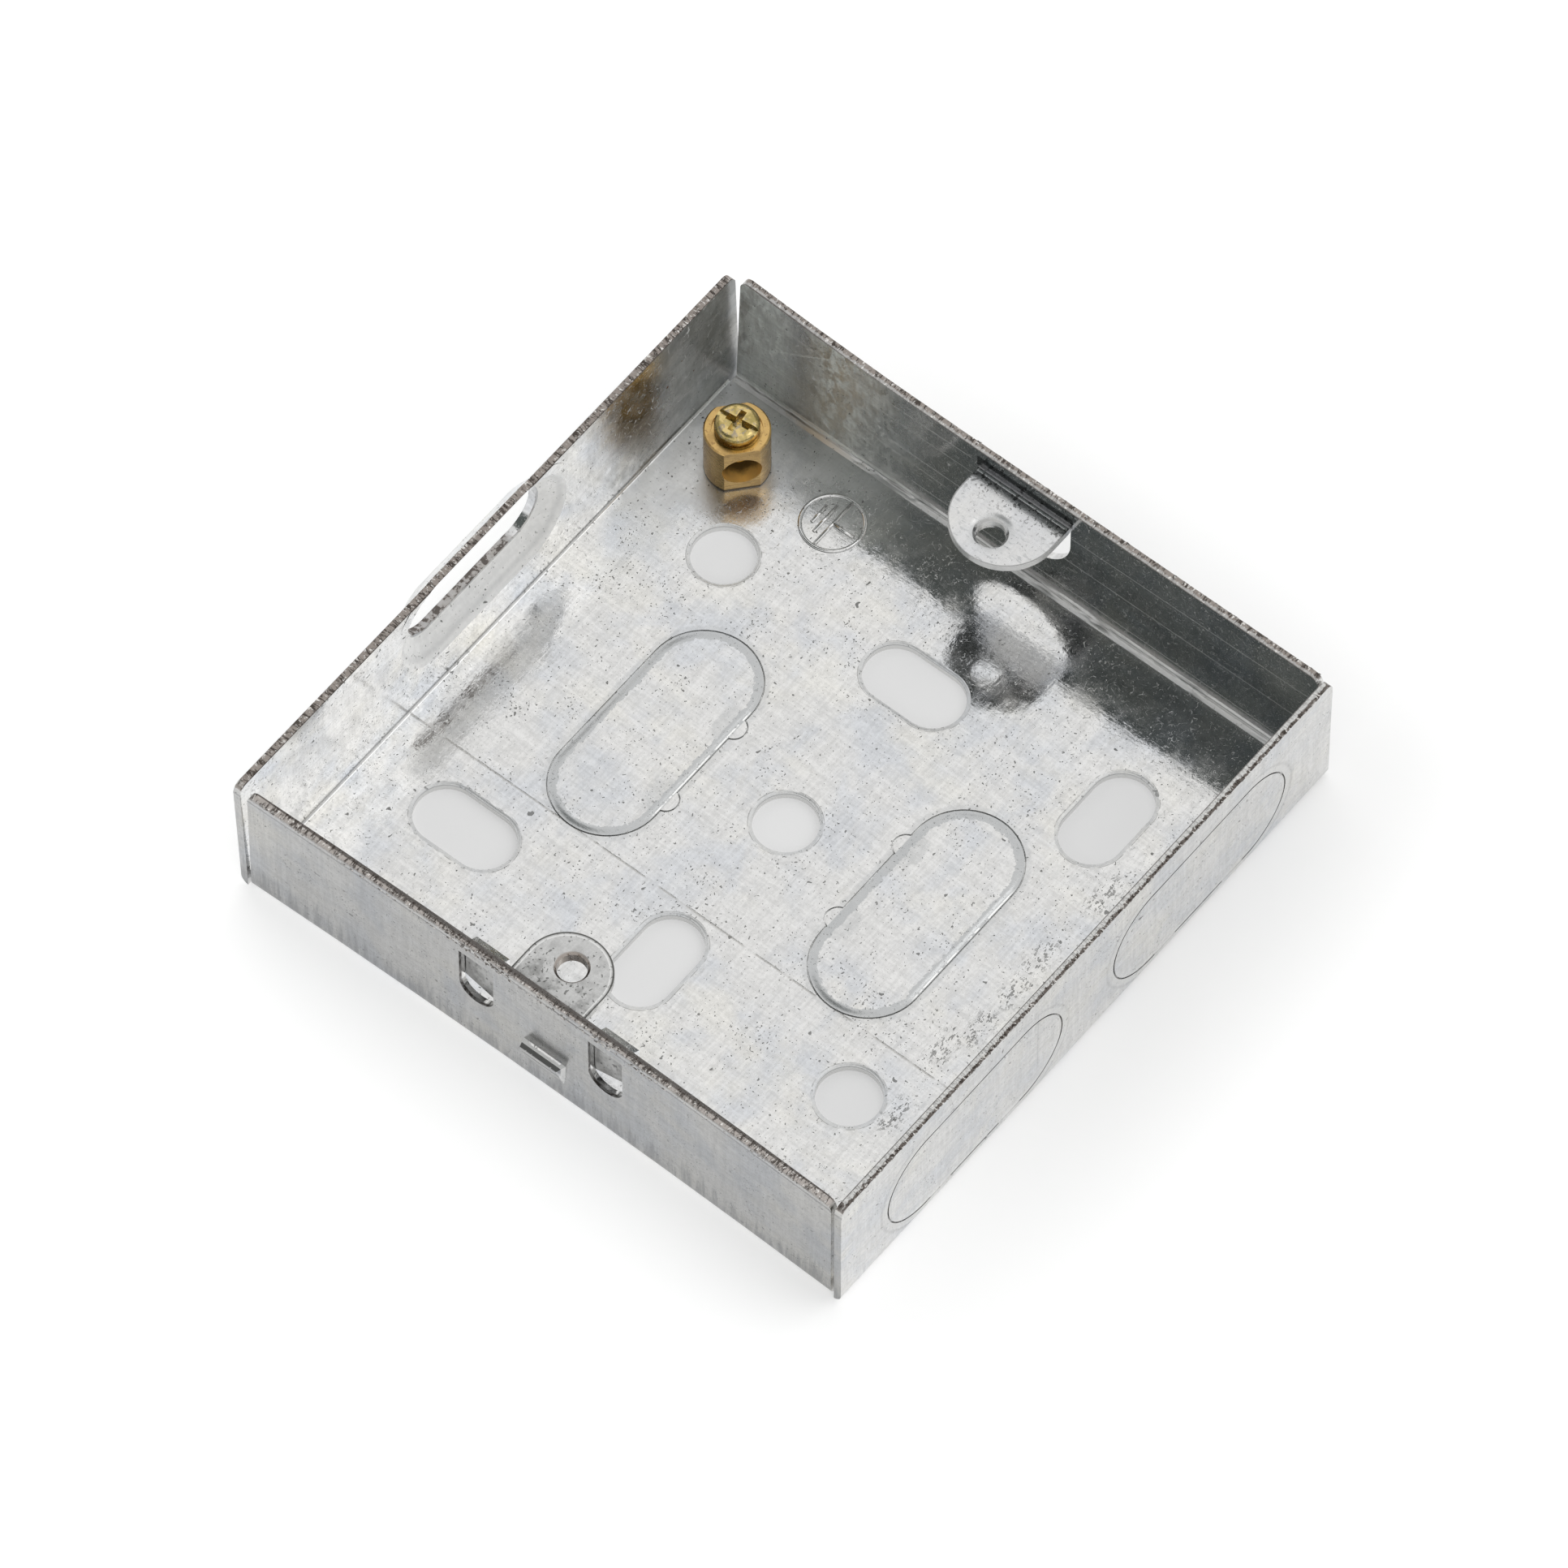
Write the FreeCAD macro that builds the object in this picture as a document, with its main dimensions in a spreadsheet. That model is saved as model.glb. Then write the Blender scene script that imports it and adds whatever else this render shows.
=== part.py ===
import FreeCAD, Part
import Sketcher
import os
import re

# Flush back box for one wiring accessory, folded from galvanised sheet, with an earth terminal.
# Frame: origin at the middle of the back plate's underside, +Z out of the box's open side,
# X along the line of the two lugs, with the adjustable lug on the -X wall.

Vector = FreeCAD.Vector
doc = FreeCAD.newDocument("flush_back_box")
sizes = doc.addObject("Spreadsheet::Sheet", "sizes")
tiny = 0.001
nearly_straight = 10
flare_steps = 3

# Driving dimensions, in millimetres
dimensions = [
    ("plate_x", 72.0, "outside size between the lug walls"),
    ("plate_y", 71.0, "outside size between the cable walls"),
    ("wall_height", 16.4, "underside of the back plate to the rim"),
    ("sheet", 0.8, "thickness of the sheet"),
    ("bend_in", 0.3, "inner radius of the folds"),
    ("corner_relief", 1.7, "how far the slit runs in under the fold"),
    ("rim_corner", 1.0, "rounding of each wall's two upper corners"),
    ("bow", 0.5, "how far the adjustable lug's wall bows in at its middle"),
    ("bowed_short", 0.1, "how much the bowed wall falls short of the slits at each end"),
    ("lean", 0.45, "how far the slotted wall leans out at its rim"),
    ("flare", 0.65, "how far the fixed lug's wall leans out at its end by the slotted wall"),
    ("flare_start", 8.0, "where that lean begins, along Y"),
    ("hole_radius", 3.175, "fixing holes and ends of the fixing slots"),
    ("hole_column", 19.0, "fixing holes from the centre line, along X"),
    ("hole_row", 22.8, "outer fixing holes from the centre line, along Y"),
    ("slot_long", 10.8, "end to end length of a fixing slot"),
    ("knock_long", 25.4, "length of a knock-out"),
    ("knock_wide", 11.3, "width of a knock-out"),
    ("knock_row", 15.5, "back knock-outs from the centre line, along Y"),
    ("knock_column", 16.5, "wall knock-outs from the centre line, along X"),
    ("knock_low", 1.65, "height of the wall knock-outs' lower edge"),
    ("shear_wide", 0.15, "width of the sheared line round a knock-out"),
    ("shear_deep", 0.3, "depth of the sheared line"),
    ("lobe_radius", 1.3, "round lobes on a back knock-out's inner side"),
    ("lobe_place", 5.0, "lobes and ties from a knock-out's middle, along X"),
    ("lobe_inset", 0.4, "lobe centres inside the knock-out's straight side"),
    ("tie_wide", 3.0, "uncut ties under a wall knock-out"),
    ("lug_spacing", 60.3, "between the two tapped holes, along X"),
    ("lug_set_back", 2.6, "lugs' upper faces below the rim"),
    ("lug_half", 5.4, "half width of the fixed lug"),
    ("lug_nose", 3.1, "fixed lug's hole centre to its tip"),
    ("lug_slit", 0.06, "sheared gap beside the fixed lug's root"),
    ("lug_bend_in", 0.5, "inner radius of the fixed lug's fold"),
    ("lug_opening_low", 5.2, "lowest point of the opening that the fixed lug leaves"),
    ("tap_radius", 1.45, "tapped holes of the lugs, to the thread's crests"),
    ("tap_chamfer", 0.25, "countersink on a tapped hole"),
    ("collar_radius", 2.05, "plunged collar under a tapped hole"),
    ("collar_drop", 0.5, "how far the collar stands below the lug"),
    ("window_place", 7.6, "windows and tabs from the centre line, along Y"),
    ("window_wide", 4.0, "width of a window"),
    ("window_low", 7.2, "lowest point of a window"),
    ("window_set_back", 2.05, "top of a window, where its tab turns in, below the rim"),
    ("tab_side_gap", 0.06, "gap each side of a tab, from shearing"),
    ("tab_fall", 1.2, "height that a tab's slanted neck takes"),
    ("tab_low", 7.9, "lower end of a tab"),
    ("slide_gap", 0.06, "play of the loose lug behind a tab, each side"),
    ("scoop_top", 6.7, "height of the scoop's open edge"),
    ("scoop_low", 3.2, "height where the scoop dies into the wall"),
    ("scoop_half", 2.6, "half width of the scoop at the wall"),
    ("scoop_lip_half", 2.15, "half width of the scoop's straight lip"),
    ("scoop_depth", 1.0, "how far the scoop stands out"),
    ("scoop_wall", 0.25, "thinned metal at the scoop's two ends"),
    ("scoop_place", -0.4, "scoop's middle, along Y"),
    ("hollow_start", 0.05, "how far the scoop's hollow starts inside the box"),
    ("arch_long", 18.5, "length of the cable slot"),
    ("arch_high", 6.0, "height of the cable slot"),
    ("arch_place", -1.1, "cable slot's middle, along X"),
    ("arch_set_back", 5.4, "cable slot's centre below the rim"),
    ("arch_stretch", 3.4, "width of the drawn metal round the cable slot"),
    ("arch_rise", 1.4, "how far the drawn lip stands out"),
    ("tongue_half", 4.35, "half width of the loose lug's tongue"),
    ("tongue_nose", 3.55, "loose lug's hole centre to its tip"),
    ("tongue_bend", 1.2, "outer radius of the loose lug's fold"),
    ("tongue_rest", 0.65, "loose lug's place along Y as photographed"),
    ("wing_span", 11.5, "loose lug's wings from its middle"),
    ("wing_deep", 2.7, "height of a wing's end"),
    ("wing_foot_deep", 5.6, "loose lug's lower edge below its fold"),
    ("wing_foot_half", 2.2, "half width of that lower edge"),
    ("post_x", 27.55, "earth terminal's axis, along X"),
    ("post_y", 28.1, "earth terminal's axis, along Y"),
    ("post_turn", 229.0, "direction of the terminal's wire hole, degrees from +X"),
    ("post_radius", 3.2, "terminal pillar"),
    ("post_top", 7.1, "height of the terminal pillar's top"),
    ("post_flat", 2.7, "flats on the pillar, from its axis"),
    ("post_edge", 0.15, "chamfer round the pillar's top"),
    ("shank_radius", 2.0, "riveted shank in the back plate"),
    ("shank_gap", 0.01, "gap round the riveted shank"),
    ("rivet_spread", 0.4, "how far the shank is spread into its countersink"),
    ("wire_radius", 1.9, "wire hole through the pillar"),
    ("wire_level", 3.85, "height of the wire hole's axis"),
    ("seat_radius", 2.45, "counterbore for the screw head"),
    ("seat_deep", 0.25, "depth of that counterbore"),
    ("thread_radius", 1.45, "terminal screw's thread"),
    ("thread_gap", 0.05, "gap between the screw and the tapped pillar"),
    ("screw_tip", 3.3, "height of the screw's tip"),
    ("screw_point", 0.25, "chamfer at the screw's tip"),
    ("head_radius", 2.17, "terminal screw's head"),
    ("head_tall", 1.6, "height of the head"),
    ("head_crown", 0.55, "height of the head's rounded shoulder"),
    ("head_gap", 0.05, "head above its seat as photographed"),
    ("screw_turn", 97.0, "direction of the head's slot, degrees from +X"),
    ("driver_slot_wide", 0.7, "slot across the head"),
    ("driver_slot_deep", 0.45, "depth of the slot"),
    ("driver_cross_wide", 0.62, "arms of the cross recess"),
    ("driver_cross_long", 2.5, "span of the cross recess"),
    ("driver_cross_deep", 1.0, "depth of the cross recess"),
]
for row, (alias, number_in_mm, note) in enumerate(dimensions, start=1):
    sizes.set(f"A{row}", alias)
    sizes.set(f"B{row}", str(number_in_mm))
    sizes.setAlias(f"B{row}", alias)
    sizes.set(f"C{row}", note)
doc.recompute()

# Places that several features share, worked out from the driving dimensions
places = {
    "half_x": "plate_x / 2",
    "half_y": "plate_y / 2",
    "wall_out": "bow - half_x",
    "wall_in": "wall_out + sheet",
    "plate_mid": "sheet / 2",
    "bend_out": "bend_in + sheet",
    "wall_root": "half_x - 2 * corner_relief",
    "slit_inner": "half_y - bend_out",
    "slit_outer": "half_y - sheet",
    "bow_centre": "bow - half_x - (half_y * half_y + bow * bow) / (2 * bow)",
    "hole_x": "lug_spacing / 2",
    "lug_top": "wall_height - lug_set_back",
    "window_high": "wall_height - window_set_back",
    "arch_level": "wall_height - arch_set_back",
    "knock_level": "knock_low + knock_wide / 2",
    "lug_under": "lug_top - sheet",
    "lug_bend_x": "half_x - sheet - lug_bend_in",
    "lug_bend_z": "lug_top + lug_bend_in",
    "tongue_out": "wall_in + slide_gap",
    "tongue_bend_x": "tongue_out + tongue_bend",
    "tongue_bend_z": "lug_top - tongue_bend",
    "wing_low": "tongue_bend_z - wing_deep",
    "wing_foot": "tongue_bend_z - wing_foot_deep",
    "tab_out": "wall_in + sheet + 2 * slide_gap",
    "tab_in": "tab_out + sheet",
    "tab_neck_run": "tab_out - wall_out",
    "tab_neck_rise": "sheet * sqrt(tab_neck_run ^ 2 + tab_fall ^ 2) / tab_neck_run",
    "seat_level": "post_top - seat_deep",
    "head_under": "seat_level + head_gap",
    "head_top": "head_under + head_tall",
    "knock_reach": "(knock_long - knock_wide) / 2",
    "slot_reach": "slot_long / 2 - hole_radius",
    "arch_reach": "(arch_long - arch_high) / 2",
}
aliases = {entry[0] for entry in dimensions}


def bind(text):
    """Write an expression in the sheet's own terms."""
    def spelled(match):
        word = match.group(0)
        if word in aliases:
            return "sizes." + word
        if word in places:
            return "(" + bind(places[word]) + ")"
        return word
    return re.sub(r"[a-z][a-z_]*", spelled, text)


def number(text):
    return float(sizes.evalExpression(bind(text)))


def make_body(label):
    body = doc.addObject("PartDesign::Body", label)
    body.Label = label
    return body


def make_sketch(body, name, role, height="0"):
    sketch = body.newObject("Sketcher::SketchObject", name)
    plane = next(f for f in body.Origin.OriginFeatures if f.Role == role)
    sketch.AttachmentSupport = [(plane, "")]
    sketch.MapMode = "FlatFace"
    sketch.setExpression("AttachmentOffset.Base.z", bind(height))
    return sketch


def hold(sketch, kind, geometry, point, text):
    """Hold one coordinate of a point to an expression."""
    index = sketch.addConstraint(Sketcher.Constraint(kind, -1, 1, geometry, point, number(text)))
    sketch.setExpression(f"Constraints[{index}]", bind(text))


def arc_centre(start, finish, axis, text):
    """Centre of an arc through two points, from one of the centre's coordinates."""
    middle = (start + finish) / 2
    chord = finish - start
    known = number(text)
    if axis == "x":
        return Vector(known, middle.y - (known - middle.x) * chord.x / chord.y, 0)
    return Vector(middle.x - (known - middle.y) * chord.y / chord.x, known, 0)


def outline(sketch, corners):
    """Closed outline; a corner (x, y, axis, centre, side) starts an arc that bulges to that side."""
    points = [Vector(number(corner[0]), number(corner[1]), 0) for corner in corners]
    ends = []
    radii = [0] * len(corners)
    lengths = [(points[index - len(points) + 1] - points[index]).Length for index in range(len(points))]
    for index, corner in enumerate(corners):
        start = points[index]
        finish = points[(index + 1) % len(points)]
        if len(corner) == 2:
            curve = Part.LineSegment(start, finish)
        else:
            centre = arc_centre(start, finish, corner[2], corner[3])
            chord = finish - start
            across = Vector(-chord.y, chord.x, 0).normalize()
            sign = 1 if corner[4] == "left" else -1
            radii[index] = (start - centre).Length
            curve = Part.Arc(start, centre + across * sign * (start - centre).Length, finish)
        geometry = sketch.addGeometry(curve)
        forward = (sketch.getPoint(geometry, 1) - start).Length < tiny
        ends.append((geometry, 1 if forward else 2, 2 if forward else 1))
    for index, corner in enumerate(corners):
        geometry, head, tail = ends[index]
        follower = ends[(index + 1) % len(ends)]
        sketch.addConstraint(Sketcher.Constraint("Coincident", geometry, tail, follower[0], follower[1]))
        hold(sketch, "DistanceX", geometry, head, corner[0])
        hold(sketch, "DistanceY", geometry, head, corner[1])
        # An arc that is nearly straight is held by its ends alone
        if len(corner) > 2 and radii[index] < nearly_straight * lengths[index]:
            hold(sketch, "DistanceX" if corner[2] == "x" else "DistanceY", geometry, 3, corner[3])


def box_outline(sketch, low_x, high_x, low_y, high_y):
    outline(sketch, [(low_x, low_y), (high_x, low_y), (high_x, high_y), (low_x, high_y)])


def circle(sketch, x, y, radius):
    centre = Vector(number(x), number(y), 0)
    geometry = sketch.addGeometry(Part.Circle(centre, Vector(0, 0, 1), number(radius)))
    hold(sketch, "DistanceX", geometry, 3, x)
    hold(sketch, "DistanceY", geometry, 3, y)
    index = sketch.addConstraint(Sketcher.Constraint("Radius", geometry, number(radius)))
    sketch.setExpression(f"Constraints[{index}]", bind(radius))


def obround(sketch, x, y, reach, radius, upright=False):
    """Round-ended slot; reach is from its middle to each end's centre."""
    if upright:
        outline(sketch, [
            (f"{x} - ({radius})", f"{y} - ({reach})", "y", f"{y} - ({reach})", "right"),
            (f"{x} + ({radius})", f"{y} - ({reach})"),
            (f"{x} + ({radius})", f"{y} + ({reach})", "y", f"{y} + ({reach})", "right"),
            (f"{x} - ({radius})", f"{y} + ({reach})"),
        ])
    else:
        outline(sketch, [
            (f"{x} - ({reach})", f"{y} - ({radius})"),
            (f"{x} + ({reach})", f"{y} - ({radius})", "x", f"{x} + ({reach})", "right"),
            (f"{x} + ({reach})", f"{y} + ({radius})"),
            (f"{x} - ({reach})", f"{y} + ({radius})", "x", f"{x} - ({reach})", "right"),
        ])


def extrude(body, kind, sketch, length, name, side="Symmetric", backwards=False):
    feature = body.newObject("PartDesign::" + kind, name)
    feature.Profile = (sketch, [""])
    feature.SideType = side
    feature.Reversed = backwards
    feature.setExpression("Length", bind(length))
    doc.recompute()
    return feature


def loft(body, kind, sketches, name):
    feature = body.newObject("PartDesign::" + kind, name)
    feature.Profile = (sketches[0], [""])
    feature.Sections = [(sketch, [""]) for sketch in sketches[1:]]
    feature.Ruled = True
    doc.recompute()
    return feature


def revolve(body, sketch, name, turn="360"):
    feature = body.newObject("PartDesign::Revolution", name)
    feature.Profile = (sketch, [""])
    feature.ReferenceAxis = (sketch, ["V_Axis"])
    feature.Midplane = True
    feature.setExpression("Angle", bind(turn))
    doc.recompute()
    return feature


def fillet(body, radius, name, chosen):
    """Round every edge of the body so far that the given test picks."""
    base = body.Tip
    names = [f"Edge{i}" for i, edge in enumerate(base.Shape.Edges, start=1) if chosen(edge)]
    feature = body.newObject("PartDesign::Fillet", name)
    feature.Base = (base, names)
    feature.setExpression("Radius", bind(radius))
    doc.recompute()
    return feature


def countersink(body, size, name, chosen):
    """Chamfer every edge of the body so far that the given test picks."""
    base = body.Tip
    names = [f"Edge{i}" for i, edge in enumerate(base.Shape.Edges, start=1) if chosen(edge)]
    feature = body.newObject("PartDesign::Chamfer", name)
    feature.Base = (base, names)
    feature.setExpression("Size", bind(size))
    doc.recompute()


# Box shell: back plate and four walls, folded from one sheet

shell = make_body("box_shell")

def fold_outline(sketch, way, face, lean_out="0", root=None, shift="0"):
    """Section of one wall with its fold, up to the rim, and with some of the plate if it has a root."""
    def at(along):
        return f"{way} * ({along}) - ({shift})"
    outer_side, inner_side = ("right", "left") if way == "1" else ("left", "right")
    fold = at(f"{face} - bend_out")
    corners = [
        (fold, "0", "x", fold, outer_side),
        (at(face), "bend_out"),
        (at(f"{face} + {lean_out}"), "wall_height"),
        (at(f"{face} + {lean_out} - sheet"), "wall_height"),
        (at(f"{face} - sheet"), "bend_out", "x", fold, inner_side),
        (fold, "sheet"),
    ]
    if root:
        corners += [(at(root), "sheet"), (at(root), "0")]
    outline(sketch, corners)


plate_sketch = make_sketch(shell, "plate_outline", "XY_Plane")
box_outline(plate_sketch, "corner_relief - half_x", "half_x - corner_relief", "-slit_inner", "slit_inner")
extrude(shell, "Pad", plate_sketch, "sheet", "back_plate", "One side")

for name, way, lean_out in (("leaning", "1", "lean"), ("upright", "-1", "0")):
    cable_sketch = make_sketch(shell, name + "_wall_section", "YZ_Plane")
    fold_outline(cable_sketch, way, "half_y", lean_out)
    extrude(shell, "Pad", cable_sketch, "plate_x", name + "_wall")

# The fixed lug's wall is straight up to where its rim starts to flare out
straight_sketch = make_sketch(shell, "straight_wall_section", "XZ_Plane", "(slit_inner - flare_start) / 2")
fold_outline(straight_sketch, "1", "half_x", root="wall_root")
extrude(shell, "Pad", straight_sketch, "slit_inner + flare_start", "straight_wall")
flare_sections = []
for share in range(flare_steps + 1):
    part_way = f"({share} / {flare_steps})"
    place = f"-(flare_start + (slit_inner - flare_start) * {part_way})"
    flare_sketch = make_sketch(shell, f"flare_section_{share}", "XZ_Plane", place)
    fold_outline(flare_sketch, "1", "half_x", f"flare * {part_way} ^ 2", root="wall_root")
    flare_sections.append(flare_sketch)
loft(shell, "AdditiveLoft", flare_sections, "flared_wall")

# The adjustable lug's wall is bowed, so its section turns about a far upright axis
bowed_sketch = make_sketch(shell, "bowed_wall_section", "XZ_Plane")
bowed_sketch.setExpression("AttachmentOffset.Base.x", bind("bow_centre"))
fold_outline(bowed_sketch, "-1", "half_x - bow", root="wall_root", shift="bow_centre")
revolve(shell, bowed_sketch, "bowed_wall", "2 * asin((slit_inner - bowed_short) / (wall_out - bow_centre))")

# Slits that part the walls at the four corners
slit_sketch = make_sketch(shell, "corner_slits", "XY_Plane")
slit_spans = (("half_x - corner_relief", "half_x + sheet"), ("-half_x - sheet", "corner_relief - half_x"))
for x_near, x_far in slit_spans:
    box_outline(slit_sketch, x_near, x_far, "slit_inner", "slit_outer")
    box_outline(slit_sketch, x_near, x_far, "-slit_outer", "-slit_inner")
extrude(shell, "Pocket", slit_sketch, "4 * wall_height", "corner_slits_cut")

sheet_thick = number("sheet")
rim_level = number("wall_height")
wall_end = number("slit_inner - 2 * bowed_short")
fillet(shell, "rim_corner", "rim_corners", lambda edge: (
    edge.BoundBox.ZMin > rim_level - tiny
    and edge.Length < 2 * sheet_thick
    and abs(edge.CenterOfMass.y) > wall_end))

# Fixing holes and slots in the back plate
fixing_sketch = make_sketch(shell, "fixing_holes", "XY_Plane", "plate_mid")
circle(fixing_sketch, "hole_column", "hole_row", "hole_radius")
circle(fixing_sketch, "-hole_column", "-hole_row", "hole_radius")
circle(fixing_sketch, "0", "0", "hole_radius")
obround(fixing_sketch, "hole_column", "0", "slot_reach", "hole_radius", upright=True)
obround(fixing_sketch, "-hole_column", "hole_row", "slot_reach", "hole_radius", upright=True)
obround(fixing_sketch, "hole_column", "-hole_row", "slot_reach", "hole_radius")
obround(fixing_sketch, "-hole_column", "0", "slot_reach", "hole_radius")
extrude(shell, "Pocket", fixing_sketch, "4 * sheet", "fixing_holes_cut")

# Fixed lug, lanced out of the +X wall, and the opening it leaves
opening_sketch = make_sketch(shell, "lug_opening", "YZ_Plane", "half_x - plate_mid")
opening_middle = "lug_opening_low + lug_half + lug_slit"
outline(opening_sketch, [
    ("-lug_half - lug_slit", "lug_bend_z"),
    ("-lug_half - lug_slit", opening_middle, "y", opening_middle, "right"),
    ("lug_half + lug_slit", opening_middle),
    ("lug_half + lug_slit", "lug_bend_z"),
])
extrude(shell, "Pocket", opening_sketch, "2 * sheet", "lug_opening_cut")

lug_sketch = make_sketch(shell, "lug_section", "XZ_Plane")
outline(lug_sketch, [
    ("half_x", "lug_bend_z + sheet"),
    ("half_x - sheet", "lug_bend_z + sheet"),
    ("half_x - sheet", "lug_bend_z", "x", "lug_bend_x", "left"),
    ("lug_bend_x", "lug_top"),
    ("hole_x - lug_nose", "lug_top"),
    ("hole_x - lug_nose", "lug_under"),
    ("lug_bend_x", "lug_under", "x", "lug_bend_x", "right"),
    ("half_x", "lug_bend_z"),
])
extrude(shell, "Pad", lug_sketch, "2 * lug_half", "fixed_lug")
nose_x = number("hole_x - lug_nose")
fillet(shell, "lug_half - 0.05", "fixed_lug_nose", lambda edge: (
    abs(edge.BoundBox.XMin - nose_x) < tiny
    and abs(edge.BoundBox.XMax - nose_x) < tiny
    and abs(edge.BoundBox.ZLength - sheet_thick) < tiny))


def tapped_hole(body, x, y, name):
    """Plunged and tapped hole in a lug, countersunk on top."""
    collar = make_sketch(body, name + "_collar", "XY_Plane", "lug_under - collar_drop")
    circle(collar, x, y, "collar_radius")
    extrude(body, "Pad", collar, "collar_drop + plate_mid", name + "_collar_pad", "One side")
    bore = make_sketch(body, name + "_bore", "XY_Plane", "lug_top")
    circle(bore, x, y, "tap_radius")
    extrude(body, "Pocket", bore, "4 * sheet", name + "_bore_cut")
    mouth_width = 2 * number("tap_radius")
    top = number("lug_top")
    countersink(body, "tap_chamfer", name + "_countersink", lambda edge: (
        abs(edge.BoundBox.ZMin - top) < tiny
        and abs(edge.BoundBox.ZMax - top) < tiny
        and abs(edge.BoundBox.XLength - mouth_width) < tiny))


tapped_hole(shell, "hole_x", "0", "fixed_tap")

# Windows in the -X wall, and the tabs turned in from them
window_sketch = make_sketch(shell, "windows", "YZ_Plane", "wall_out + plate_mid")
window_round = "window_low + window_wide / 2"
for middle in ("window_place", "-window_place"):
    outline(window_sketch, [
        (f"{middle} - window_wide / 2", "window_high"),
        (f"{middle} - window_wide / 2", window_round, "y", window_round, "right"),
        (f"{middle} + window_wide / 2", window_round),
        (f"{middle} + window_wide / 2", "window_high"),
    ])
extrude(shell, "Pocket", window_sketch, "3 * sheet", "windows_cut")

for side, middle in (("left", "window_place"), ("right", "-window_place")):
    tab_sketch = make_sketch(shell, side + "_tab_section", "XZ_Plane", f"-({middle})")
    outline(tab_sketch, [
        ("wall_out", "window_high"),
        ("tab_out", "window_high - tab_fall"),
        ("tab_out", "tab_low"),
        ("tab_in", "tab_low"),
        ("tab_in", "window_high - tab_fall + tab_neck_rise - sheet * tab_fall / tab_neck_run"),
        ("wall_in", "window_high + tab_neck_rise - sheet * tab_fall / tab_neck_run"),
        ("wall_out", "window_high + tab_neck_rise"),
    ])
    extrude(shell, "Pad", tab_sketch, "window_wide - 2 * tab_side_gap", side + "_tab")

tab_end = number("tab_low")
fillet(shell, "window_wide / 2 - tab_side_gap - 0.05", "tab_ends", lambda edge: (
    abs(edge.BoundBox.ZMin - tab_end) < tiny
    and abs(edge.BoundBox.ZMax - tab_end) < tiny
    and abs(edge.BoundBox.XLength - sheet_thick) < tiny))

# Scoop below the windows, pushed out with its upper edge open


def scoop_section(name, height, face, depth, narrower):
    """Flat-topped section between the wall's face and a straight lip that stands out by depth."""
    sketch = make_sketch(shell, name, "XY_Plane", height)
    outline(sketch, [
        (face, f"scoop_place - scoop_half + {narrower}"),
        (face, f"scoop_place + scoop_half - {narrower}"),
        (f"{face} - ({depth})", f"scoop_place + scoop_lip_half - {narrower}"),
        (f"{face} - ({depth})", f"scoop_place - scoop_lip_half + {narrower}"),
    ])
    return sketch


scoop_face = "wall_out + plate_mid"
scoop_outer = [
    scoop_section("scoop_outer_top", "scoop_top", scoop_face, "scoop_depth + plate_mid", "0"),
    scoop_section("scoop_outer_low", "scoop_low", scoop_face, "plate_mid", "0"),
]
loft(shell, "AdditiveLoft", scoop_outer, "scoop_out")
hollow_face = "wall_in + hollow_start"
scoop_inner = [
    scoop_section("scoop_inner_top", "scoop_top", hollow_face, "scoop_depth + hollow_start", "scoop_wall"),
    scoop_section("scoop_inner_low", "scoop_low", hollow_face, "2 * hollow_start", "scoop_wall"),
]
loft(shell, "SubtractiveLoft", scoop_inner, "scoop_hollow")

# Cable slot in the +Y wall, with its lip drawn outwards and cut off by the rim


def arch_section(name, place, margin):
    sketch = make_sketch(shell, name, "XZ_Plane", f"-({place})")
    obround(sketch, "arch_place", "arch_level", "arch_reach", f"arch_high / 2 + {margin}")
    return sketch


arch_outer = [
    arch_section("arch_outer_root", "half_y - plate_mid", "arch_stretch + plate_mid"),
    arch_section("arch_outer_lip", "half_y + plate_mid + arch_rise", "plate_mid"),
]
loft(shell, "AdditiveLoft", arch_outer, "arch_out")
arch_inner = [
    arch_section("arch_inner_root", "half_y - plate_mid - sheet", "arch_stretch + plate_mid"),
    arch_section("arch_inner_lip", "half_y - plate_mid + arch_rise", "plate_mid"),
]
loft(shell, "SubtractiveLoft", arch_inner, "arch_hollow")
arch_sketch = make_sketch(shell, "arch_slot", "XZ_Plane", "-half_y")
obround(arch_sketch, "arch_place", "arch_level", "arch_reach", "arch_high / 2")
extrude(shell, "Pocket", arch_sketch, "8 * sheet", "arch_slot_cut")
rim_sketch = make_sketch(shell, "rim_trim", "XY_Plane", "wall_height")
box_outline(rim_sketch, "-half_x", "half_x", "half_y - 2 * sheet", "half_y + 4 * sheet")
extrude(shell, "Pocket", rim_sketch, "wall_height", "rim_trim_cut", "One side", backwards=True)

# Knock-outs: lines sheared part of the way through, on both faces of the sheet


def lobed_outline(sketch, toward, grow):
    """Back knock-out's edge, with two lobes on the side that faces the middle of the box."""
    radius = f"(knock_wide / 2 + ({grow}))"
    lobe = f"(lobe_radius + ({grow}))"
    middle = f"({toward} * knock_row)"
    straight = f"({middle} - {toward} * {radius})"
    lobe_y = f"({middle} - {toward} * (knock_wide / 2 - lobe_inset))"
    half_lobe = f"sqrt({lobe} ^ 2 - (lobe_inset + ({grow})) ^ 2)"
    far = f"({middle} + {toward} * {radius})"
    side = "right" if toward == "1" else "left"
    outline(sketch, [
        ("-knock_reach", straight),
        (f"-lobe_place - {half_lobe}", straight, "y", lobe_y, side),
        (f"-lobe_place + {half_lobe}", straight),
        (f"lobe_place - {half_lobe}", straight, "y", lobe_y, side),
        (f"lobe_place + {half_lobe}", straight),
        ("knock_reach", straight, "x", "knock_reach", side),
        ("knock_reach", far),
        ("-knock_reach", far, "x", "-knock_reach", side),
    ])


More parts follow.
